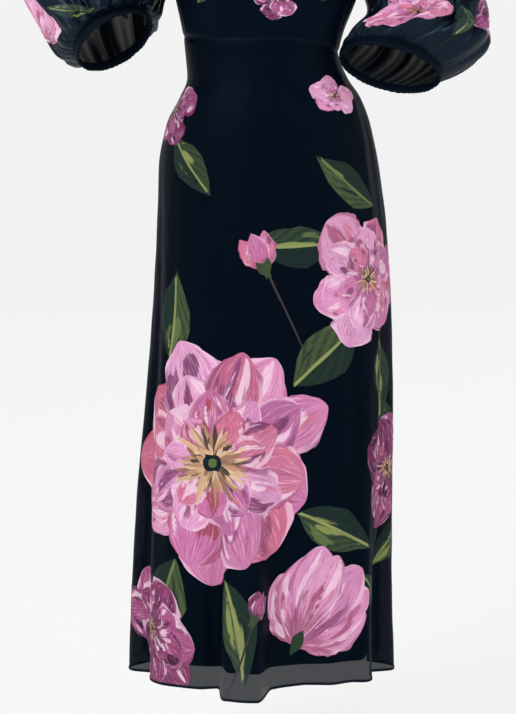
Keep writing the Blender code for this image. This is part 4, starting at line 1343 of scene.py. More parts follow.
# Layouts. Columns: kind, place across and down the flat cut, size, turn (degrees, clockwise from +u as worn),
# seed, then a leaf's width, or a flower's palette and its press (wide, tall, slant) where it isn't plain
SKIRT_FRONT_PRINT = (
    ("spray", 0.240, 0.900, 0.300, -100, 14),
    ("leaf", -0.150, 0.475, 0.130, -75, 11, 1.2),
    ("leaf", 0.045, 0.510, 0.150, -38, 12, 1.2),
    ("leaf", 0.060, 0.700, 0.140, 22, 16, 1.1),
    ("leaf", -0.150, 0.770, 0.160, 118, 15, 1.2),
    ("leaf", -0.060, 0.790, 0.150, 70, 31, 1.0),
    ("leaf", 0.180, 0.240, 0.120, 205, 13, 1.1),
    ("leaf", 0.110, 0.300, 0.130, 170, 17, 1.2),
    ("leaf", 0.190, 0.440, 0.130, 70, 28, 1.1),
    ("leaf", -0.140, 0.150, 0.105, 55, 18, 1.2),
    ("leaf", -0.190, 0.130, 0.090, 120, 33, 1.0),
    ("bud", 0.070, 0.480, 0.150, -112, 19, "pink"),
    ("bud", -0.060, 0.950, 0.110, -60, 20, "magenta"),
    ("great", -0.075, 0.625, 0.172, 15, 21, "pink", (0.96, 1.06, 30)),
    ("open", 0.165, 0.350, 0.105, 30, 22, "pink", (0.86, 1.0, 20)),
    ("small", -0.165, 0.110, 0.060, 10, 23, "magenta", (1.0, 0.9, 0)),
    ("fan", 0.085, 0.900, 0.140, -66, 24, "blush", (1.0, 1.1, 0)),
    ("open", -0.225, 0.880, 0.085, 70, 25, "magenta", (0.9, 1.1, 0)),
    ("open", 0.235, 0.640, 0.085, 10, 27, "magenta", (0.8, 1.1, 0)),
    ("small", 0.110, 0.080, 0.040, 10, 26, "blush", (1.0, 0.86, 0)),
    ("leaf", -0.235, 0.330, 0.110, -80, 29, 1.1),
)
SKIRT_LEFT_PRINT = (
    ("leaf", 0.060, 0.260, 0.120, -60, 41, 1.0),
    ("leaf", -0.070, 0.520, 0.120, 130, 42, 1.0),
    ("spray", 0.060, 0.760, 0.200, -100, 43),
    ("leaf", -0.040, 0.880, 0.110, 100, 44, 1.0),
    ("open", -0.010, 0.400, 0.110, 20, 45, "pink", (0.9, 1.1, 10)),
    ("open", 0.030, 0.800, 0.120, 40, 46, "magenta", (0.9, 1.15, -15)),
    ("bud", 0.080, 0.190, 0.120, 200, 47, "pink"),
    ("fan", -0.090, 0.640, 0.095, 70, 48, "blush"),
    ("small", -0.060, 0.130, 0.055, 0, 49, "magenta"),
    ("small", 0.045, 0.585, 0.056, 0, 50, "blush"),
)
SKIRT_RIGHT_PRINT = (
    ("leaf", -0.060, 0.300, 0.120, -120, 61, 1.0),
    ("leaf", 0.060, 0.470, 0.110, 60, 62, 1.0),
    ("spray", -0.070, 0.900, 0.220, -80, 63),
    ("leaf", 0.050, 0.700, 0.110, 80, 64, 1.0),
    ("great", 0.000, 0.600, 0.150, 60, 65, "pink", (0.75, 1.1, -8)),
    ("open", -0.050, 0.220, 0.090, 20, 66, "magenta", (0.9, 1.0, 0)),
    ("fan", 0.070, 0.870, 0.110, -95, 67, "pink"),
    ("small", 0.070, 0.340, 0.055, 0, 68, "blush"),
    ("small", -0.060, 0.425, 0.050, 0, 69, "magenta"),
)
BODICE_FRONT_PRINT = (
    ("leaf", 0.060, 0.415, 0.066, 14, 81, 1.0),
    ("leaf", -0.040, 0.290, 0.080, 200, 82, 1.0),
    ("leaf", -0.100, 0.440, 0.058, -48, 85, 1.0),
    ("leaf", 0.120, 0.250, 0.075, -70, 87, 1.0),
    ("open", -0.085, 0.235, 0.066, 15, 83, "pink", (1.0, 1.0, 0)),
    ("small", 0.105, 0.185, 0.050, 0, 84, "magenta"),
    ("small", 0.020, 0.430, 0.036, 30, 86, "magenta", (1.0, 0.9, 0)),
    ("bud", 0.135, 0.345, 0.080, 215, 88, "pink"),
)
BODICE_BACK_PRINT = {
    "left": (
        ("leaf", 0.120, 0.330, 0.075, 200, 91, 1.0),
        ("open", 0.125, 0.235, 0.066, 10, 92, "pink", (0.95, 1, 0)),
        ("small", 0.062, 0.425, 0.042, 0, 93, "magenta"),
        ("leaf", 0.080, 0.120, 0.065, 40, 94, 1.0),
    ),
    "right": (
        ("leaf", 0.075, 0.190, 0.075, 130, 95, 1.0),
        ("small", 0.090, 0.150, 0.048, 10, 96, "magenta"),
        ("open", 0.110, 0.370, 0.060, 10, 97, "blush", (0.95, 1, 0)),
    ),
}
SLEEVE_PRINT = {
    "right": (
        ("leaf", 0.175, 0.120, 0.085, 70, 101, 1.0),
        ("leaf", 0.135, 0.345, 0.075, -152, 107, 1.1),
        ("open", 0.075, 0.150, 0.078, 20, 102, "pink", (0.95, 1.05, 0)),
        ("fan", 0.010, 0.345, 0.078, -62, 108, "blush", (1.0, 1.05, 0)),
        ("leaf", -0.060, 0.230, 0.090, 100, 103, 1.0),
        ("small", 0.190, 0.265, 0.052, 0, 104, "magenta"),
        ("open", -0.130, 0.140, 0.075, 30, 105, "magenta", (0.95, 1.0, 0)),
        ("fan", -0.190, 0.300, 0.080, -90, 106, "blush"),
    ),
    "left": (
        ("leaf", 0.040, 0.110, 0.085, 20, 111, 1.0),
        ("leaf", 0.085, 0.300, 0.080, 95, 117, 1.1),
        ("open", 0.160, 0.335, 0.058, 35, 112, "pink", (0.95, 1.0, 0)),
        ("small", 0.150, 0.140, 0.052, 0, 118, "magenta"),
        ("leaf", -0.060, 0.210, 0.090, 100, 113, 1.0),
        ("small", 0.012, 0.300, 0.044, 0, 114, "magenta"),
        ("open", -0.120, 0.160, 0.075, 30, 115, "pink", (0.95, 1.0, 0)),
        ("bud", -0.170, 0.320, 0.110, -90, 116, "pink"),
    ),
}


# ---------------------------------------------------------------- materials
def new_node(tree, kind, values):
    node = tree.nodes.new(kind)
    for name, value in values.items():
        setattr(node, name, value)
    return node


class Nodes:
    """A material's tree with short ways to add and join its nodes."""

    def __init__(self, name):
        self.material = bpy.data.materials.new(name)
        self.material.use_nodes = True
        self.tree = self.material.node_tree
        self.shader = self.tree.nodes["Principled BSDF"]

    def add(self, kind, **values):
        return new_node(self.tree, kind, values)

    def put(self, socket, value):
        if isinstance(value, bpy.types.NodeSocket):
            self.tree.links.new(value, socket)
        else:
            socket.default_value = value

    def fill(self, node, values):
        """Sets or joins some of a node's inputs, by name."""
        for name, value in values.items():
            self.put(node.inputs[name], value)
        return node.outputs

    def surface(self, name, value):
        self.put(self.shader.inputs[name], value)

    def maths(self, operation, *values, clamp=False):
        node = self.add("ShaderNodeMath", operation=operation, use_clamp=clamp)
        for socket, value in zip(node.inputs, values):
            self.put(socket, value)
        return node.outputs[0]

    def mix(self, share, one, other):
        node = self.add("ShaderNodeMix", data_type="RGBA")
        self.put(node.inputs["Factor"], share)
        colours = [socket for socket in node.inputs if socket.type == "RGBA"]
        for socket, value in zip(colours, (one, other)):
            self.put(socket, value if isinstance(value, bpy.types.NodeSocket) else (*value, 1))
        return [socket for socket in node.outputs if socket.type == "RGBA"][0]

    def between(self, value, low, high, new_low=0.0, new_high=1.0):
        node = self.add("ShaderNodeMapRange", interpolation_type="SMOOTHSTEP")
        for socket, number in zip(node.inputs, (value, low, high, new_low, new_high)):
            self.put(socket, number)
        return node.outputs[0]

    def noise(self, place, scale, detail=2.0, rough=0.5):
        values = {"Vector": place, "Scale": scale, "Detail": detail, "Roughness": rough}
        return self.fill(self.add("ShaderNodeTexNoise"), values)[0]

    def wave(self, place, scale, direction, bend=0.0):
        node = self.add("ShaderNodeTexWave", bands_direction=direction)
        return self.fill(node, {"Vector": place, "Scale": scale, "Distortion": bend})[1]

    def attribute(self, name):
        return self.add("ShaderNodeAttribute", attribute_name=name)

    def scaled(self, vector, scale):
        return self.fill(self.add("ShaderNodeMapping"), {"Vector": vector, "Scale": scale})[0]

    def split(self, vector):
        node = self.add("ShaderNodeSeparateXYZ")
        self.put(node.inputs[0], vector)
        return node.outputs

    def cloth_place(self):
        return self.add("ShaderNodeUVMap", uv_map="cloth").outputs[0]

    def object_place(self):
        return self.add("ShaderNodeTexCoord").outputs["Object"]

    def bump(self, height, depth, strength):
        values = {"Height": height, "Distance": depth, "Strength": strength}
        self.surface("Normal", self.fill(self.add("ShaderNodeBump"), values)[0])

    def finish(self, roughness, sheen=0.0, sheen_tint=(1, 1, 1), specular=0.5):
        tint = (*sheen_tint, 1)
        self.fill(self.shader, {"Roughness": roughness, "Sheen Weight": sheen, "Sheen Tint": tint,
                                "Sheen Roughness": SHEEN_SPREAD, "Specular Tint": tint,
                                "Specular IOR Level": specular})
        return self.material


WEAVE, LINING_WEAVE = 1 / 0.00045, 1 / 0.0003    # threads of the chiffon and the lining to a metre
PAPER_GLOW = 0.722
SHEEN_SPREAD = 0.4


def woven(n, place, threads, uneven):
    """Height of a plain weave: crossing threads with a crepe yarn's unevenness."""
    weft = n.wave(place, threads / 20 * math.pi, "Y", uneven)
    warp = n.wave(place, threads / 20 * math.pi, "X", uneven)
    grain = n.noise(place, threads * 0.6, 2.0, 0.6)
    return n.maths("ADD", n.maths("MULTIPLY", n.maths("MAXIMUM", weft, warp), 0.6),
                   n.maths("MULTIPLY", grain, 0.7))


def printed_chiffon(name, ground_alpha, print_alpha, gathered=False):
    """Navy chiffon with its floral print: streaked petals, veined leaves and a faintly mottled ground."""
    n = Nodes(name)
    cloth = n.cloth_place()
    brush = n.attribute("brush").outputs["Vector"]
    paint, shade = n.attribute("paint").outputs["Color"], n.attribute("shade").outputs["Color"]
    kind = n.attribute("kind").outputs["Fac"]
    along, across, _ = n.split(brush)

    mottle = n.noise(cloth, 38.0, 3.0)
    fleck = n.noise(cloth, 900.0, 2.0)
    ground = n.mix(n.maths("MULTIPLY", mottle, 0.8), NAVY, ink(3, 11, 24))
    ground = n.mix(n.between(fleck, 0.62, 0.75, 0.0, 0.3), ground, ink(10, 20, 38))

    broad = n.noise(n.scaled(brush, (2.4, 3.6, 3.0)), 1.6, 4.0, 0.62)
    fine = n.noise(n.scaled(brush, (4.0, 22.0, 5.0)), 1.7, 4.0, 0.65)
    ragged = n.maths("ADD", n.maths("MULTIPLY", broad, 0.9), n.maths("MULTIPLY", fine, 0.9))
    ragged = n.maths("SUBTRACT", ragged, 0.9)

    def laid(wash, low, high):
        return n.between(n.maths("ADD", wash, ragged), low, high)

    light, deep, warm = (laid(wash, 0.42, 0.66) for wash in n.split(n.attribute("wash").outputs["Vector"]))
    base = laid(n.between(along, 0.0, 0.74, 0.95, 0.0), 0.30, 0.74)
    edge = n.maths("ABSOLUTE", across)
    rim = laid(n.between(edge, 0.62, 1.0, 0.0, 0.75), 0.40, 0.62)
    pick = n.between(n.noise(n.scaled(brush, (1.1, 0.7, 9.0)), 1.3), 0.46, 0.54)

    petal = n.mix(n.maths("MULTIPLY", n.between(fine, 0.40, 0.66), 0.45), paint, shade)
    petal = n.mix(n.maths("MULTIPLY", warm, 0.75), petal, ink(*WARM[0]))
    petal = n.mix(n.maths("MULTIPLY", base, 0.85), petal, shade)
    petal = n.mix(n.maths("MULTIPLY", deep, 0.90), petal, shade)
    petal = n.mix(n.maths("MULTIPLY", light, 0.80), petal, PALE)
    bristle = n.noise(n.scaled(brush, (2.2, 11.0, 7.0)), 1.9, 3.0, 0.62)
    petal = n.mix(n.between(bristle, 0.55, 0.66, 0.0, 0.45), petal, PALE)
    petal = n.mix(n.between(bristle, 0.34, 0.46, 0.55, 0.0), petal, shade)
    petal = n.mix(n.maths("MULTIPLY", rim, 0.60), petal, n.mix(pick, PALE, shade))

    vein = n.wave(n.scaled(brush, (1.0, 0.45, 0.0)), 3.2, "DIAGONAL", 1.2)
    green = n.mix(n.between(fine, 0.40, 0.66, 0.0, 0.6), paint, shade)
    green = n.mix(n.between(vein, 0.30, 0.80, 0.0, 0.45), green, ink(*LEAF_SHADES[1]))
    green = n.mix(n.maths("MULTIPLY", deep, 0.85), green, ink(22, 36, 34))
    green = n.mix(n.maths("MULTIPLY", warm, 0.60), green, ink(*LEAF_LIGHTS[1]))
    green = n.mix(n.maths("MULTIPLY", light, 0.85), green, ink(*LEAF_LIGHTS[0]))

    line = n.mix(n.between(fine, 0.40, 0.70, 0.0, 0.7), paint, shade)

    colour = n.mix(n.maths("GREATER_THAN", kind, 0.5), ground, petal)
    colour = n.mix(n.maths("GREATER_THAN", kind, 1.5), colour, green)
    colour = n.mix(n.maths("GREATER_THAN", kind, 2.5), colour, line)
    weave = woven(n, cloth, WEAVE, 0.6)
    # Darker where the weave lies low: painted shade in the hollows between the threads.
    colour = n.mix(n.between(weave, 0.3, 0.9, 0.16, 0.0), colour, ink(2, 4, 10))
    n.surface("Base Color", colour)
    if gathered:
        n.surface("Roughness", n.between(mottle, 0.35, 0.65, 0.36, 0.46))
    if ground_alpha < 1:
        printed = n.maths("GREATER_THAN", kind, 0.5)
        open_weave = n.between(weave, 0.3, 0.8, -0.05, 0.05)
        alpha = n.maths("ADD", n.maths("MULTIPLY", printed, print_alpha - ground_alpha), ground_alpha)
        alpha = n.maths("ADD", alpha, open_weave, clamp=True)
        if gathered:
            layers = n.attribute("layers").outputs["Fac"]
            alpha = n.maths("SUBTRACT", 1.0, n.maths("POWER", n.maths("SUBTRACT", 1.0, alpha), layers))
        n.surface("Alpha", alpha)
    n.bump(weave, 0.00008, 0.30)
    return n.finish(0.48, 0.006, (0.42, 0.70, 1.0), specular=0.27 if gathered else 0.05)


def plain_cloth(name, colour, light, threads, uneven, roughness, sheen, depth, specular):
    """A plain woven cloth with yarn-scale relief, painted shade where the weave lies low, and a slow change of tone.
    """
    n = Nodes(name)
    cloth = n.cloth_place()
    weave = woven(n, cloth, threads, uneven)
    mottle = n.noise(cloth, 30.0, 3.0)
    tone = n.mix(n.maths("MULTIPLY", mottle, 0.7), colour, light)
    # Darker where the weave lies low: painted shade between the threads.
    n.surface("Base Color", n.mix(n.between(weave, 0.3, 0.9, 0.25, 0.0), tone, ink(1, 3, 8)))
    n.bump(weave, depth, 0.6)
    return n.finish(roughness, sheen, (0.50, 0.72, 1.0), specular=specular)


def tape_cloth():
    """The zip's tape: a fine herringbone over its length, painted lighter on the twill's ridges and darker in its
    grooves as highlight and shade.
    """
    n = Nodes("zip_tape_weave")
    place = n.object_place()
    twill = n.wave(place, 260.0, "DIAGONAL", 0.5)
    threads = n.noise(n.scaled(place, (1.0, 1.0, 0.25)), 2400.0)
    # The tone follows the twill's height: painted highlight on its ridges, painted shade in its grooves.
    tone = n.mix(n.between(twill, 0.3, 0.8), ink(7, 12, 24), ink(24, 32, 50))
    n.surface("Base Color", tone)
    n.bump(n.maths("ADD", twill, n.maths("MULTIPLY", threads, 0.5)), 0.0002, 0.7)
    return n.finish(0.8, 0.15)


def thread_fibre():
    """Sewing thread: two plies turned together, with painted highlight on their crests and painted shade in the
    grooves between them.
    """
    n = Nodes("sewing_thread")
    place = n.object_place()
    ply = n.wave(place, 1500.0, "DIAGONAL", 1.0)
    # The tone follows the plies' height: painted highlight on the crests, painted shade in the grooves.
    n.surface("Base Color", n.mix(n.between(ply, 0.2, 0.8), ink(9, 16, 31), ink(30, 42, 66)))
    n.bump(ply, 0.00005, 0.6)
    return n.finish(0.55, 0.2)


def coil_nylon():
    n = Nodes("coil_nylon")
    cloud = n.noise(n.object_place(), 500.0)
    n.surface("Base Color", n.mix(cloud, ink(8, 14, 28), ink(28, 38, 58)))
    n.surface("Roughness", n.between(cloud, 0.3, 0.7, 0.34, 0.5))
    return n.material


def enamelled_metal():
    """Dark enamel over metal, worn bright in small spots and finely scratched along the pull."""
    n = Nodes("enamelled_metal")
    place = n.object_place()
    scratch = n.noise(n.scaled(place, (8.0, 8.0, 0.6)), 900.0, 3.0)
    cloud = n.noise(place, 260.0, 3.0)
    worn = n.between(cloud, 0.66, 0.74)
    enamel = n.mix(scratch, ink(58, 66, 80), ink(82, 90, 104))
    n.surface("Base Color", n.mix(worn, enamel, ink(176, 178, 182)))
    n.surface("Metallic", n.maths("ADD", n.maths("MULTIPLY", worn, 0.4), 0.6))
    n.surface("Roughness", n.between(scratch, 0.3, 0.7, 0.26, 0.44))
    n.bump(scratch, 0.00004, 0.4)
    return n.material


def studio_paper():
    """White paper lit evenly from behind and from the room."""
    n = Nodes("studio_paper")
    fibre = n.noise(n.object_place(), 6.0, 4.0)
    n.surface("Base Color", n.mix(fibre, (0.235, 0.235, 0.235), (0.245, 0.245, 0.245)))
    n.surface("Emission Color", (1, 1, 1, 1))
    n.surface("Emission Strength", PAPER_GLOW)
    n.bump(n.noise(n.object_place(), 900.0), 0.0002, 0.2)
    return n.finish(0.95, specular=0.0)


SKIRT_CHIFFON = printed_chiffon("skirt_chiffon", 0.70, 0.86)
SLEEVE_CHIFFON = printed_chiffon("sleeve_chiffon", 0.69, 0.86, gathered=True)
BODICE_CHIFFON = printed_chiffon("bodice_chiffon", 1.0, 1.0)
LINING_SATIN = plain_cloth("lining_satin", ink(4, 9, 19), ink(9, 16, 30), LINING_WEAVE, 0.3,
                           roughness=0.55, sheen=0.006, depth=0.00006, specular=0.07)
HEM_CHIFFON = plain_cloth("hem_chiffon", ink(3, 9, 19), ink(7, 14, 27), WEAVE, 0.8,
                          roughness=0.6, sheen=0.01, depth=0.00012, specular=0.08)
THREAD = thread_fibre()


# ---------------------------------------------------------------- the pieces
LEFT_CUT = math.pi / 2
PANELS = {
    "skirt_front": (-LEFT_CUT, LEFT_CUT, SKIRT_FRONT_PRINT),
    "skirt_back_left": (LEFT_CUT, math.pi, SKIRT_LEFT_PRINT),
    "skirt_back_right": (-math.pi, -LEFT_CUT, SKIRT_RIGHT_PRINT),
}


def cut_facts(cut):
    """The cut's width, length and area, the size it has before it is sewn and gathered."""
    width, length = cut["size"]
    return {"flat": cut["size"], "area": min(cut["area"], width * length)}


def dress_piece(piece, slot, *nodes):
    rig.ride(piece, "dress")
    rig.slot(piece, slot)
    if nodes:
        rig.replaces(piece, *nodes)
    return piece


def finished(piece, material):
    piece.data.materials.append(material)
    return piece


def edge_frame(place, a, b, away):
    """Points along an edge of a panel, with the way down the cloth and the way out from it."""
    _, down, out = slopes(place, a, np.full(len(a), b))
    points = place(a, np.full(len(a), b))
    flip = np.sign(np.sum(out * away(points), axis=1, keepdims=True))
    return points, unit(down), out * flip


def joined_edges(*edges):
    return tuple(np.concatenate(parts) for parts in zip(*edges))


def band(name, edge, reach, thickness, material, closed=True, sides=BAND_SIDES, pucker=None):
    """A soft folded edge: an oblong section swept along an edge. Reach is how far up and down it goes."""
    points, down, out = edge
    up, low = (np.broadcast_to(value, len(points)) for value in reach)
    theta = 2 * math.pi * np.arange(sides) / sides
    along, through = np.cos(theta), np.sin(theta)
    square = 1 / np.maximum(np.abs(along) ** 4 + np.abs(through) ** 4, 1e-9) ** 0.25
    middle = points + down * ((low - up) / 2)[:, None]
    half = (up + low)[:, None] / 2 * (along * square)[None, :]
    thick = np.broadcast_to(thickness, len(points))[:, None] / 2 * (through * square)[None, :]
    if pucker is not None:
        fold = pucker(np.arange(len(points))[:, None] / len(points), theta[None, :])
        half, thick = half * (1 + PUCKER_ACROSS * fold), thick * (1 + fold)
    rows = middle[:, None, :] + half[..., None] * down[:, None, :] + thick[..., None] * out[:, None, :]
    mesh_faces = []
    count = len(points)
    for k in range(count if closed else count - 1):
        here, after = k * sides, (k + 1) % count * sides
        for j in range(sides):
            mesh_faces.append((here + j, here + (j + 1) % sides, after + (j + 1) % sides, after + j))
    if not closed:
        mesh_faces += [tuple(range(sides)), tuple((count - 1) * sides + j for j in range(sides))]
    mesh = bpy.data.meshes.new(name)
    mesh.from_pydata(rows.reshape(-1, 3).tolist(), [], mesh_faces)
    run = run_along(points)
    run = np.append(run, run[-1] + np.linalg.norm(points[0] - points[-1]))
    girth = (up + low).mean() * 2
    uv = mesh.uv_layers.new(name="cloth")
    for face in mesh.polygons:
        strip = face.index // sides
        for loop in face.loop_indices:
            vertex = mesh.loops[loop].vertex_index
            k, j = divmod(vertex, sides)
            if face.index % sides == sides - 1 and j == 0:
                j = sides
            if strip == count - 1 and k == 0:
                k = count
            uv.uv[loop].vector = (run[k], girth * j / sides)
    tidy = bmesh.new()
    tidy.from_mesh(mesh)
    bmesh.ops.recalc_face_normals(tidy, faces=tidy.faces)
    tidy.to_mesh(mesh)
    tidy.free()
    mesh.shade_smooth()
    return finished(added(name, mesh), material)


def inwards(edge, distance):
    points, down, out = edge
    return points - out * distance, down, out


def skirt_hem_edge():
    edges = []
    for low, high, _ in PANELS.values():
        across = np.linspace(-1, 1, int(round((high - low) / math.pi * HEM_STEPS)) + 1)[:-1]
        edges.append(edge_frame(skirt_place(low, high), across, 1.0, away_from_axis))
    return inwards(joined_edges(*edges), CHIFFON / 2)


def lining_hem_edge():
    across = np.linspace(-1, 1, LINING_HEM_STEPS + 1)[:-1]
    return inwards(edge_frame(lining_place, across, 1.0, away_from_axis), LINING_CLOTH / 2)


def neck_edge():
    """From the right half of the back, round the front, to the left half of the back."""
    half_back = np.linspace(-1 + BACK_CLEAR, 2 * NECK_SHARE - 1, NECK_STEPS["back"])
    front = np.linspace(-NECK_SHARE, NECK_SHARE, NECK_STEPS["front"])[1:-1]
    right = edge_frame(bodice_place("back", -1), half_back, 2 * STEP, away_from_axis)
    middle = edge_frame(bodice_place("front"), front, 2 * STEP, away_from_axis)
    left = edge_frame(bodice_place("back", 1), half_back, 2 * STEP, away_from_axis)
    left = tuple(part[::-1] for part in left)
    return inwards(joined_edges(right, middle, left), CHIFFON / 2)


def made_skirt():
    sheets = {}
    for node, (low, high, rows) in PANELS.items():
        cut = strip_cut(skirt_place(low, high), GRID["skirt"])
        piece = finished(cloth_shell(node + "_chiffon", cut, print_of(rows)), SKIRT_CHIFFON)
        dress_piece(piece, "chiffon", node)
        sheets[piece] = cut
    cut = strip_cut(lining_place, GRID["lining"])
    lining = cloth_shell("skirt_lining_satin", cut, thickness=LINING_CLOTH, around=True)
    dress_piece(finished(lining, LINING_SATIN), "lining", "skirt_lining")
    hem = band("skirt_hem_roll", skirt_hem_edge(), (HEM_WIDTH - HEM_LAP, HEM_LAP), HEM_THICKNESS, HEM_CHIFFON)
    dress_piece(hem, "chiffon")
    lining_hem = band("lining_hem_fold", lining_hem_edge(), (LINING_HEM_WIDTH - FOLD_LAP, FOLD_LAP),
                      LINING_HEM_THICKNESS, LINING_SATIN)
    dress_piece(lining_hem, "lining")
    for piece, facts in sheets.items():
        extra = {"with_pieces": [hem.name]} if piece.name == "skirt_front_chiffon" else {}
        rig.sheet(piece, held="hung", rests_on=["skirt_lining_satin"], **cut_facts(facts), **extra)
    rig.sheet(lining, held="hung", rests_on=["bodice_front_chiffon"], with_pieces=[lining_hem.name],
             **cut_facts(cut))


def made_bodice():
    for node, which, side, rows in (("bodice_front", "front", 1, BODICE_FRONT_PRINT),
                                    ("bodice_back_left", "back", 1, BODICE_BACK_PRINT["left"]),
                                    ("bodice_back_right", "back", -1, BODICE_BACK_PRINT["right"])):
        cut = bodice_cut(which, side, GRID["bodice"])
        piece = finished(cloth_shell(node + "_chiffon", cut, print_of(rows)), BODICE_CHIFFON)
        dress_piece(piece, "chiffon", node)
        rests_on = "bodice_back_left_chiffon" if which == "front" else "bodice_front_chiffon"
        extra = {}
        if which == "front":
            neck = band("neck_edge_fold", neck_edge(), (FOLD_LAP, NECK_EDGE_WIDTH), NECK_EDGE_THICKNESS,
                        HEM_CHIFFON, closed=False)
            extra = {"with_pieces": [dress_piece(neck, "chiffon").name]}
        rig.sheet(piece, held="stretched", rests_on=[rests_on], **cut_facts(cut), **extra)


def away_from_arm(side):
    middle = through(sections_middle(side), np.linspace(0, 1, 60))

    def away(points):
        nearest = ((points[:, None, :] - middle[None, :, :]) ** 2).sum(axis=2).argmin(axis=1)
        return points - middle[nearest]
    return away


def cuff_edge(side):
    """The middle of a cuff's roll, with the way along the arm and the way out from it."""
    psi = 2 * math.pi * np.arange(CUFF_STEPS) / CUFF_STEPS
    rim = sleeve_sections(psi, side)[-1]
    run = np.array(Vector(SLEEVES[SIDES[side]][-1][3:6]).normalized())
    out = rim - rim.mean(axis=0)
    out = unit(out - (out @ run)[:, None] * run)
    down = np.broadcast_to(run, out.shape)
    bunch = ridge(np.abs(turn_between(psi, math.pi / 2)) / BUNCH_REACH)
    return (rim + CUFF_WIDTH / 2 * run + CUFF_LIFT * out, down, out), bunch


def made_cuff(name, side):
    """A narrow roll of gathered cloth: fine puckers that turn a little round it."""
    edge, bunch = cuff_edge(side)
    rng = np.random.default_rng(90 + side)
    turns = 2 * math.pi * rng.integers((5, 9, 14), (9, 14, 23))
    starts = rng.uniform(0, 6.3, 3)

    def pucker(share, theta):
        fine = np.cos(2 * math.pi * CUFF_PUCKERS * share + 2.2 * np.sin(turns[0] * share) + 1.1 * theta)
        slow = np.sin(turns[1] * share + starts[1] + 0.6 * theta) + 0.6 * np.sin(turns[2] * share + starts[2])
        return CUFF_PUCKER_DEPTHS[0] * fine + CUFF_PUCKER_DEPTHS[1] * slow

    more = CUFF_ROLL_NEAR[name] * bunch
    piece = band(f"cuff_{name}_roll", edge, (CUFF_ROLL + CUFF_OVERLAP + 1.5 * more, CUFF_ROLL + 0.5 * more),
                 2 * (CUFF_PLUMP + 0.22 * more), HEM_CHIFFON, sides=CUFF_SIDES, pucker=pucker)
    dress_piece(piece, "chiffon", f"cuff_{name}")
    return piece.name


def made_sleeves():
    for side, name in SIDES.items():
        cut = strip_cut(sleeve_place(side), GRID["sleeve"], SLEEVE_FOOT)
        piece = cloth_shell(f"sleeve_{name}_chiffon", cut, print_of(SLEEVE_PRINT[name]),
                            away=away_from_arm(side), around=True, layers=gathered_layers(side))
        finished(piece, SLEEVE_CHIFFON)
        dress_piece(piece, "chiffon", f"sleeve_{name}")
        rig.sheet(piece, held="gathered", rests_on=["bodice_front_chiffon"],
                 with_pieces=[made_cuff(name, side)], **cut_facts(cut))


made_skirt()
made_bodice()
made_sleeves()


def recovered(node, material):
    """Gives a solid of the frame a better finish."""
    thing = frame["nodes"][node]
    for slot in thing.material_slots:
        slot.material = material


recovered("zip_tape", tape_cloth())
METAL = enamelled_metal()
recovered("zip_slider", METAL)
recovered("zip_pull", METAL)


# ---------------------------------------------------------------- stitches, seam allowances and zip coil
# Small shapes in a row: pitch, length along, width across, height
STITCH = (0.0026, 0.0021, 0.00050, 0.00040)
LINING_STITCH = (0.0030, 0.0024, 0.00050, 0.00040)
TOOTH = (0.0015, 0.00095, 0.0026, 0.0012)
TOOTH_ACROSS, TOOTH_BEHIND = 0.00115, 0.0004
TAPE_SEWING_ACROSS, TAPE_SEWING_BEHIND, TAPE_SEWING_TOP_Z = 0.0078, 0.0001, -0.020


ROW_INPUTS = {"Geometry": "Geometry", "Pitch": "Float", "Along": "Float", "Across": "Float",
              "Height": "Float", "Unevenness": "Float", "Seed": "Int", "Material": "Material"}


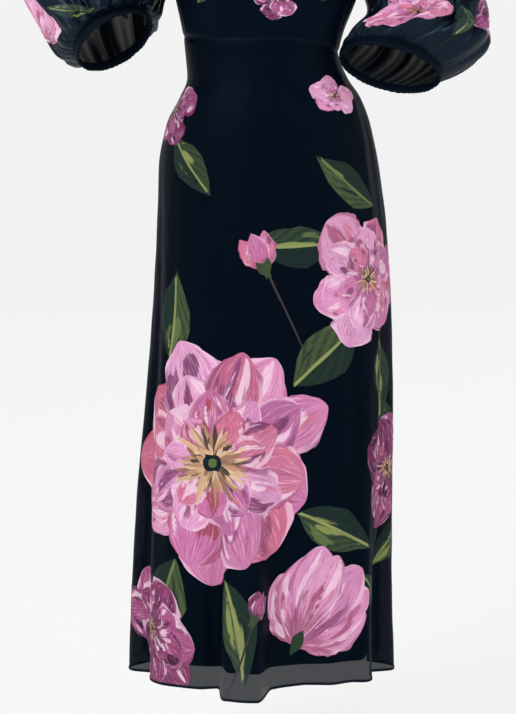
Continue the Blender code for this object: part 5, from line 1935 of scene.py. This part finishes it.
def row_tree():
    """Geometry nodes that set one small rounded shape after another along paths."""
    tree = bpy.data.node_groups.new("row_along_path", "GeometryNodeTree")
    face = tree.interface
    sockets = [face.new_socket(name, in_out="INPUT", socket_type="NodeSocket" + kind).identifier
               for name, kind in ROW_INPUTS.items()]
    face.new_socket("Geometry", in_out="OUTPUT", socket_type="NodeSocketGeometry")

    def add(kind, **values):
        return new_node(tree, kind, values)

    join = tree.links.new
    given, done = add("NodeGroupInput"), add("NodeGroupOutput")
    curve = add("GeometryNodeMeshToCurve")
    even = add("GeometryNodeResampleCurve", mode="LENGTH")
    tangent = add("GeometryNodeInputTangent")
    out = add("GeometryNodeInputNamedAttribute", data_type="FLOAT_VECTOR")
    out.inputs["Name"].default_value = "out"
    lie = add("FunctionNodeAlignRotationToVector", axis="X", pivot_axis="AUTO")
    stand = add("FunctionNodeAlignRotationToVector", axis="Z", pivot_axis="X")
    bead = add("GeometryNodeMeshIcoSphere")
    bead.inputs["Radius"].default_value = 0.5
    bead.inputs["Subdivisions"].default_value = 1
    smooth = add("GeometryNodeSetShadeSmooth")
    size = add("ShaderNodeCombineXYZ")
    chance = add("FunctionNodeRandomValue", data_type="FLOAT")
    low, high = add("ShaderNodeMath", operation="SUBTRACT"), add("ShaderNodeMath", operation="ADD")
    scale = add("ShaderNodeVectorMath", operation="SCALE")
    place = add("GeometryNodeInstanceOnPoints")
    real, paint = add("GeometryNodeRealizeInstances"), add("GeometryNodeSetMaterial")
    join(given.outputs["Geometry"], curve.inputs["Mesh"])
    join(curve.outputs[0], even.inputs["Curve"])
    join(given.outputs["Pitch"], even.inputs["Length"])
    join(tangent.outputs[0], lie.inputs["Vector"])
    join(lie.outputs[0], stand.inputs["Rotation"])
    join([o for o in out.outputs if o.enabled and o.name == "Attribute"][0], stand.inputs["Vector"])
    for name, axis in (("Along", "X"), ("Across", "Y"), ("Height", "Z")):
        join(given.outputs[name], size.inputs[axis])
    low.inputs[0].default_value = high.inputs[0].default_value = 1.0
    join(given.outputs["Unevenness"], low.inputs[1])
    join(given.outputs["Unevenness"], high.inputs[1])
    floats = [i for i in chance.inputs if i.enabled and i.name in ("Min", "Max")]
    join(low.outputs[0], floats[0])
    join(high.outputs[0], floats[1])
    join(given.outputs["Seed"], chance.inputs["Seed"])
    join(size.outputs[0], scale.inputs[0])
    join([o for o in chance.outputs if o.enabled][0], scale.inputs["Scale"])
    join(bead.outputs["Mesh"], smooth.inputs["Geometry"])
    join(even.outputs[0], place.inputs["Points"])
    join(smooth.outputs[0], place.inputs["Instance"])
    join(stand.outputs[0], place.inputs["Rotation"])
    join(scale.outputs[0], place.inputs["Scale"])
    join(place.outputs[0], real.inputs[0])
    join(real.outputs[0], paint.inputs["Geometry"])
    join(given.outputs["Material"], paint.inputs["Material"])
    join(paint.outputs[0], done.inputs[0])
    return tree, sockets


ROW_TREE, ROW_SOCKETS = row_tree()


def row_of(name, paths, material, shape, seed, unevenness=0.1):
    """One small shape after another along paths; each path is points and the way out from the cloth."""
    vertices, edges, outs = [], [], []
    for points, out, closed in paths:
        start, count = len(vertices), len(points)
        vertices += points.tolist()
        outs += out.tolist()
        edges += [(start + i, start + i + 1) for i in range(count - 1)]
        if closed:
            edges.append((start + count - 1, start))
    mesh = bpy.data.meshes.new(name)
    mesh.from_pydata(vertices, edges, [])
    layer = mesh.attributes.new("out", "FLOAT_VECTOR", "POINT")
    layer.data.foreach_set("vector", np.array(outs, dtype=np.float32).ravel())
    guide = added(name + "_guide", mesh)
    rows = guide.modifiers.new("rows", "NODES")
    rows.node_group = ROW_TREE
    for socket, value in zip(ROW_SOCKETS[1:], (*shape, unevenness, seed, material)):
        rows[socket] = value
    view = bpy.context.evaluated_depsgraph_get()
    made = bpy.data.meshes.new_from_object(guide.evaluated_get(view), depsgraph=view)
    guide.modifiers.remove(rows)
    bpy.data.objects.remove(guide)
    made.name = name
    return added(name, made)


def sewn_line(edge, inset, lift, closed=True):
    """A line of sewing at some distance from an edge, on the outer side of the cloth."""
    points, down, out = edge
    return points - inset * down + lift * out, out, closed


def back_line(across, depth, top=ZIP_TOP_Z):
    """A line down the back seam, to one side of it and some way inside the cloth."""
    z = np.linspace(top, ZIP_BOTTOM_Z, 260)
    side = np.linalg.norm(slopes(figure, np.full(len(z), math.pi), z)[0], axis=1)
    phi = math.pi + across / side
    _, _, out = slopes(figure, phi, z)
    out = out * np.sign(np.sum(out * away_from_axis(figure(phi, z)), axis=1, keepdims=True))
    return figure(phi, z) - depth * out, -out, False


def worn_line(phi, z):
    """Points on the plain form, the way down it and the way out from it."""
    _, down, out = slopes(figure, phi, z)
    out = out * np.sign(np.sum(out * away_from_axis(figure(phi, z)), axis=1, keepdims=True))
    return figure(phi, z), -unit(down), out


def seam_allowances():
    """The pressed seam allowances inside: round the waist, down the sides and round the armholes."""
    phi = np.linspace(-math.pi + ZIP_CLEAR, math.pi - ZIP_CLEAR, 260)
    waist = inwards(worn_line(phi, waist_z(phi)), ALLOWANCE_INSET)
    pieces = [band("waist_seam_allowance", waist, (WAIST_ALLOWANCE_UP, ALLOWANCE), ALLOWANCE_THICKNESS,
                   HEM_CHIFFON, closed=False)]
    lines = [sewn_line(waist, -0.8 * ALLOWANCE, -ALLOWANCE_SEWING, False)]
    for side, name in SIDES.items():
        z = np.linspace(UNDERARM_Z - 0.004, SIDE_ALLOWANCE_FOOT_Z, 70)
        points, down, out = inwards(worn_line(np.full(len(z), side * math.pi / 2), z), ALLOWANCE_INSET)
        across = np.cross(down, out)
        pieces.append(band(f"side_{name}_seam_allowance", (points, across, out),
                           (ALLOWANCE / 2, ALLOWANCE / 2), ALLOWANCE_THICKNESS, HEM_CHIFFON, closed=False))
        for reach in (0.4, -0.4):
            lines.append((points + reach * ALLOWANCE * across - ALLOWANCE_SEWING * out, out, False))
        around = np.linspace(-1, 1, ARMHOLE_STEPS + 1)[:-1]
        head = inwards(edge_frame(sleeve_place(side), around, 2 * STEP, away_from_arm(side)), ALLOWANCE_INSET)
        pieces.append(band(f"armhole_{name}_seam_allowance", head, (ARMHOLE_ALLOWANCE_UP, ALLOWANCE),
                           ALLOWANCE_THICKNESS, HEM_CHIFFON))
        lines.append(sewn_line(head, -0.8 * ALLOWANCE, -ALLOWANCE_SEWING))
    for piece in pieces:
        dress_piece(piece, "chiffon")
    return lines


def made_sewing():
    lines = seam_allowances()
    lines.append(sewn_line(skirt_hem_edge(), HEM_WIDTH - 0.0012, HEM_THICKNESS / 2 + 0.0001))
    lines.append(sewn_line(neck_edge(), 0.0014 - NECK_EDGE_WIDTH, 0.0008, False))
    dress_piece(row_of("dress_sewing", lines, THREAD, STITCH, 3), "chiffon")
    lines = [sewn_line(lining_hem_edge(), LINING_HEM_WIDTH - 0.0016, 0.0007)]
    dress_piece(row_of("lining_sewing", lines, THREAD, LINING_STITCH, 5), "lining")


def made_zip():
    teeth = [back_line(TOOTH_ACROSS * side, TAPE_BACK + TOOTH_BEHIND) for side in (-1, 1)]
    dress_piece(row_of("zip_coil", teeth, coil_nylon(), TOOTH, 7, 0.03), "tape")
    rows = [back_line(TAPE_SEWING_ACROSS * side, TAPE_BACK + TAPE_SEWING_BEHIND, TAPE_SEWING_TOP_Z)
            for side in (-1, 1)]
    dress_piece(row_of("zip_sewing", rows, THREAD, STITCH, 9), "tape")


made_sewing()
made_zip()


# ---------------------------------------------------------------- floor, light and camera
# The floor's rings: radius and height
FLOOR_PROFILE = ((3.0, 0.0), (8.0, 0.0), (9.5, 0.16), (11.0, 0.72), (12.2, 1.8), (13.0, 3.4), (13.4, 6.0),
                 (13.5, 10.0))
FLOOR_TURNS = 96
# Lights: place, aim, width and height, power
LIGHTS = {
    "key_light": ((-3.0, -4.6, 2.6), (0, 0, -0.7), (2.4, 2.4), 212),
    "fill_light": ((3.8, -3.4, 0.8), (0, 0, -0.8), (2.4, 2.4), 55),
    "rim_light": ((1.5, 4.2, 2.6), (0, 0, -0.6), (3.0, 2.0), 32),
}
ROOM_LIGHT = 0.42
CAMERA_PLACE, CAMERA_AIM, CAMERA_LENS = (-0.006, -4.5, -0.27), (-0.006, 0, -0.8785), 152.6


def bowl():
    """A floor that curves up into a wall all round, in one sheet."""
    turns = FLOOR_TURNS
    vertices, faces = [(0, 0, FLOOR_Z)], []
    for radius, height in FLOOR_PROFILE:
        for k in range(turns):
            angle = 2 * math.pi * k / turns
            vertices.append((radius * math.cos(angle), radius * math.sin(angle), FLOOR_Z + height))
    for k in range(turns):
        faces.append((0, 1 + k, 1 + (k + 1) % turns))
    for row in range(len(FLOOR_PROFILE) - 1):
        for k in range(turns):
            here, after = 1 + row * turns + k, 1 + row * turns + (k + 1) % turns
            faces.append((here, here + turns, after + turns, after))
    mesh = bpy.data.meshes.new("studio_floor")
    mesh.from_pydata(vertices, [], faces)
    mesh.shade_smooth()
    return added("studio_floor", mesh)


floor = finished(bowl(), studio_paper())
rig.stage(floor)


def aimed(name, data, place, aim):
    """A lamp or camera at a place, turned towards another."""
    thing = added(name, data)
    thing.location = place
    thing.rotation_euler = (Vector(aim) - Vector(place)).to_track_quat("-Z", "Y").to_euler()
    return thing


for name, (place, aim, size, power) in LIGHTS.items():
    lamp = bpy.data.lights.new(name, "AREA")
    lamp.shape = "RECTANGLE"
    lamp.size, lamp.size_y = size
    lamp.energy = power
    aimed(name, lamp, place, aim)

world = bpy.data.worlds.new("studio_air")
world.use_nodes = True
world.node_tree.nodes["Background"].inputs["Color"].default_value = (1.0, 1.0, 1.0, 1)
world.node_tree.nodes["Background"].inputs["Strength"].default_value = ROOM_LIGHT
bpy.context.scene.world = world
bpy.context.scene.view_settings.view_transform = "Standard"

camera = bpy.data.cameras.new("front_camera")
camera.lens = CAMERA_LENS
bpy.context.scene.camera = aimed("front_camera", camera, CAMERA_PLACE, CAMERA_AIM)

sizes = {"cad": cad_box, "visual": [list(corner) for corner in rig.bounds()]}
with open("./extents.json", "w") as size_file:
    json.dump(sizes, size_file)
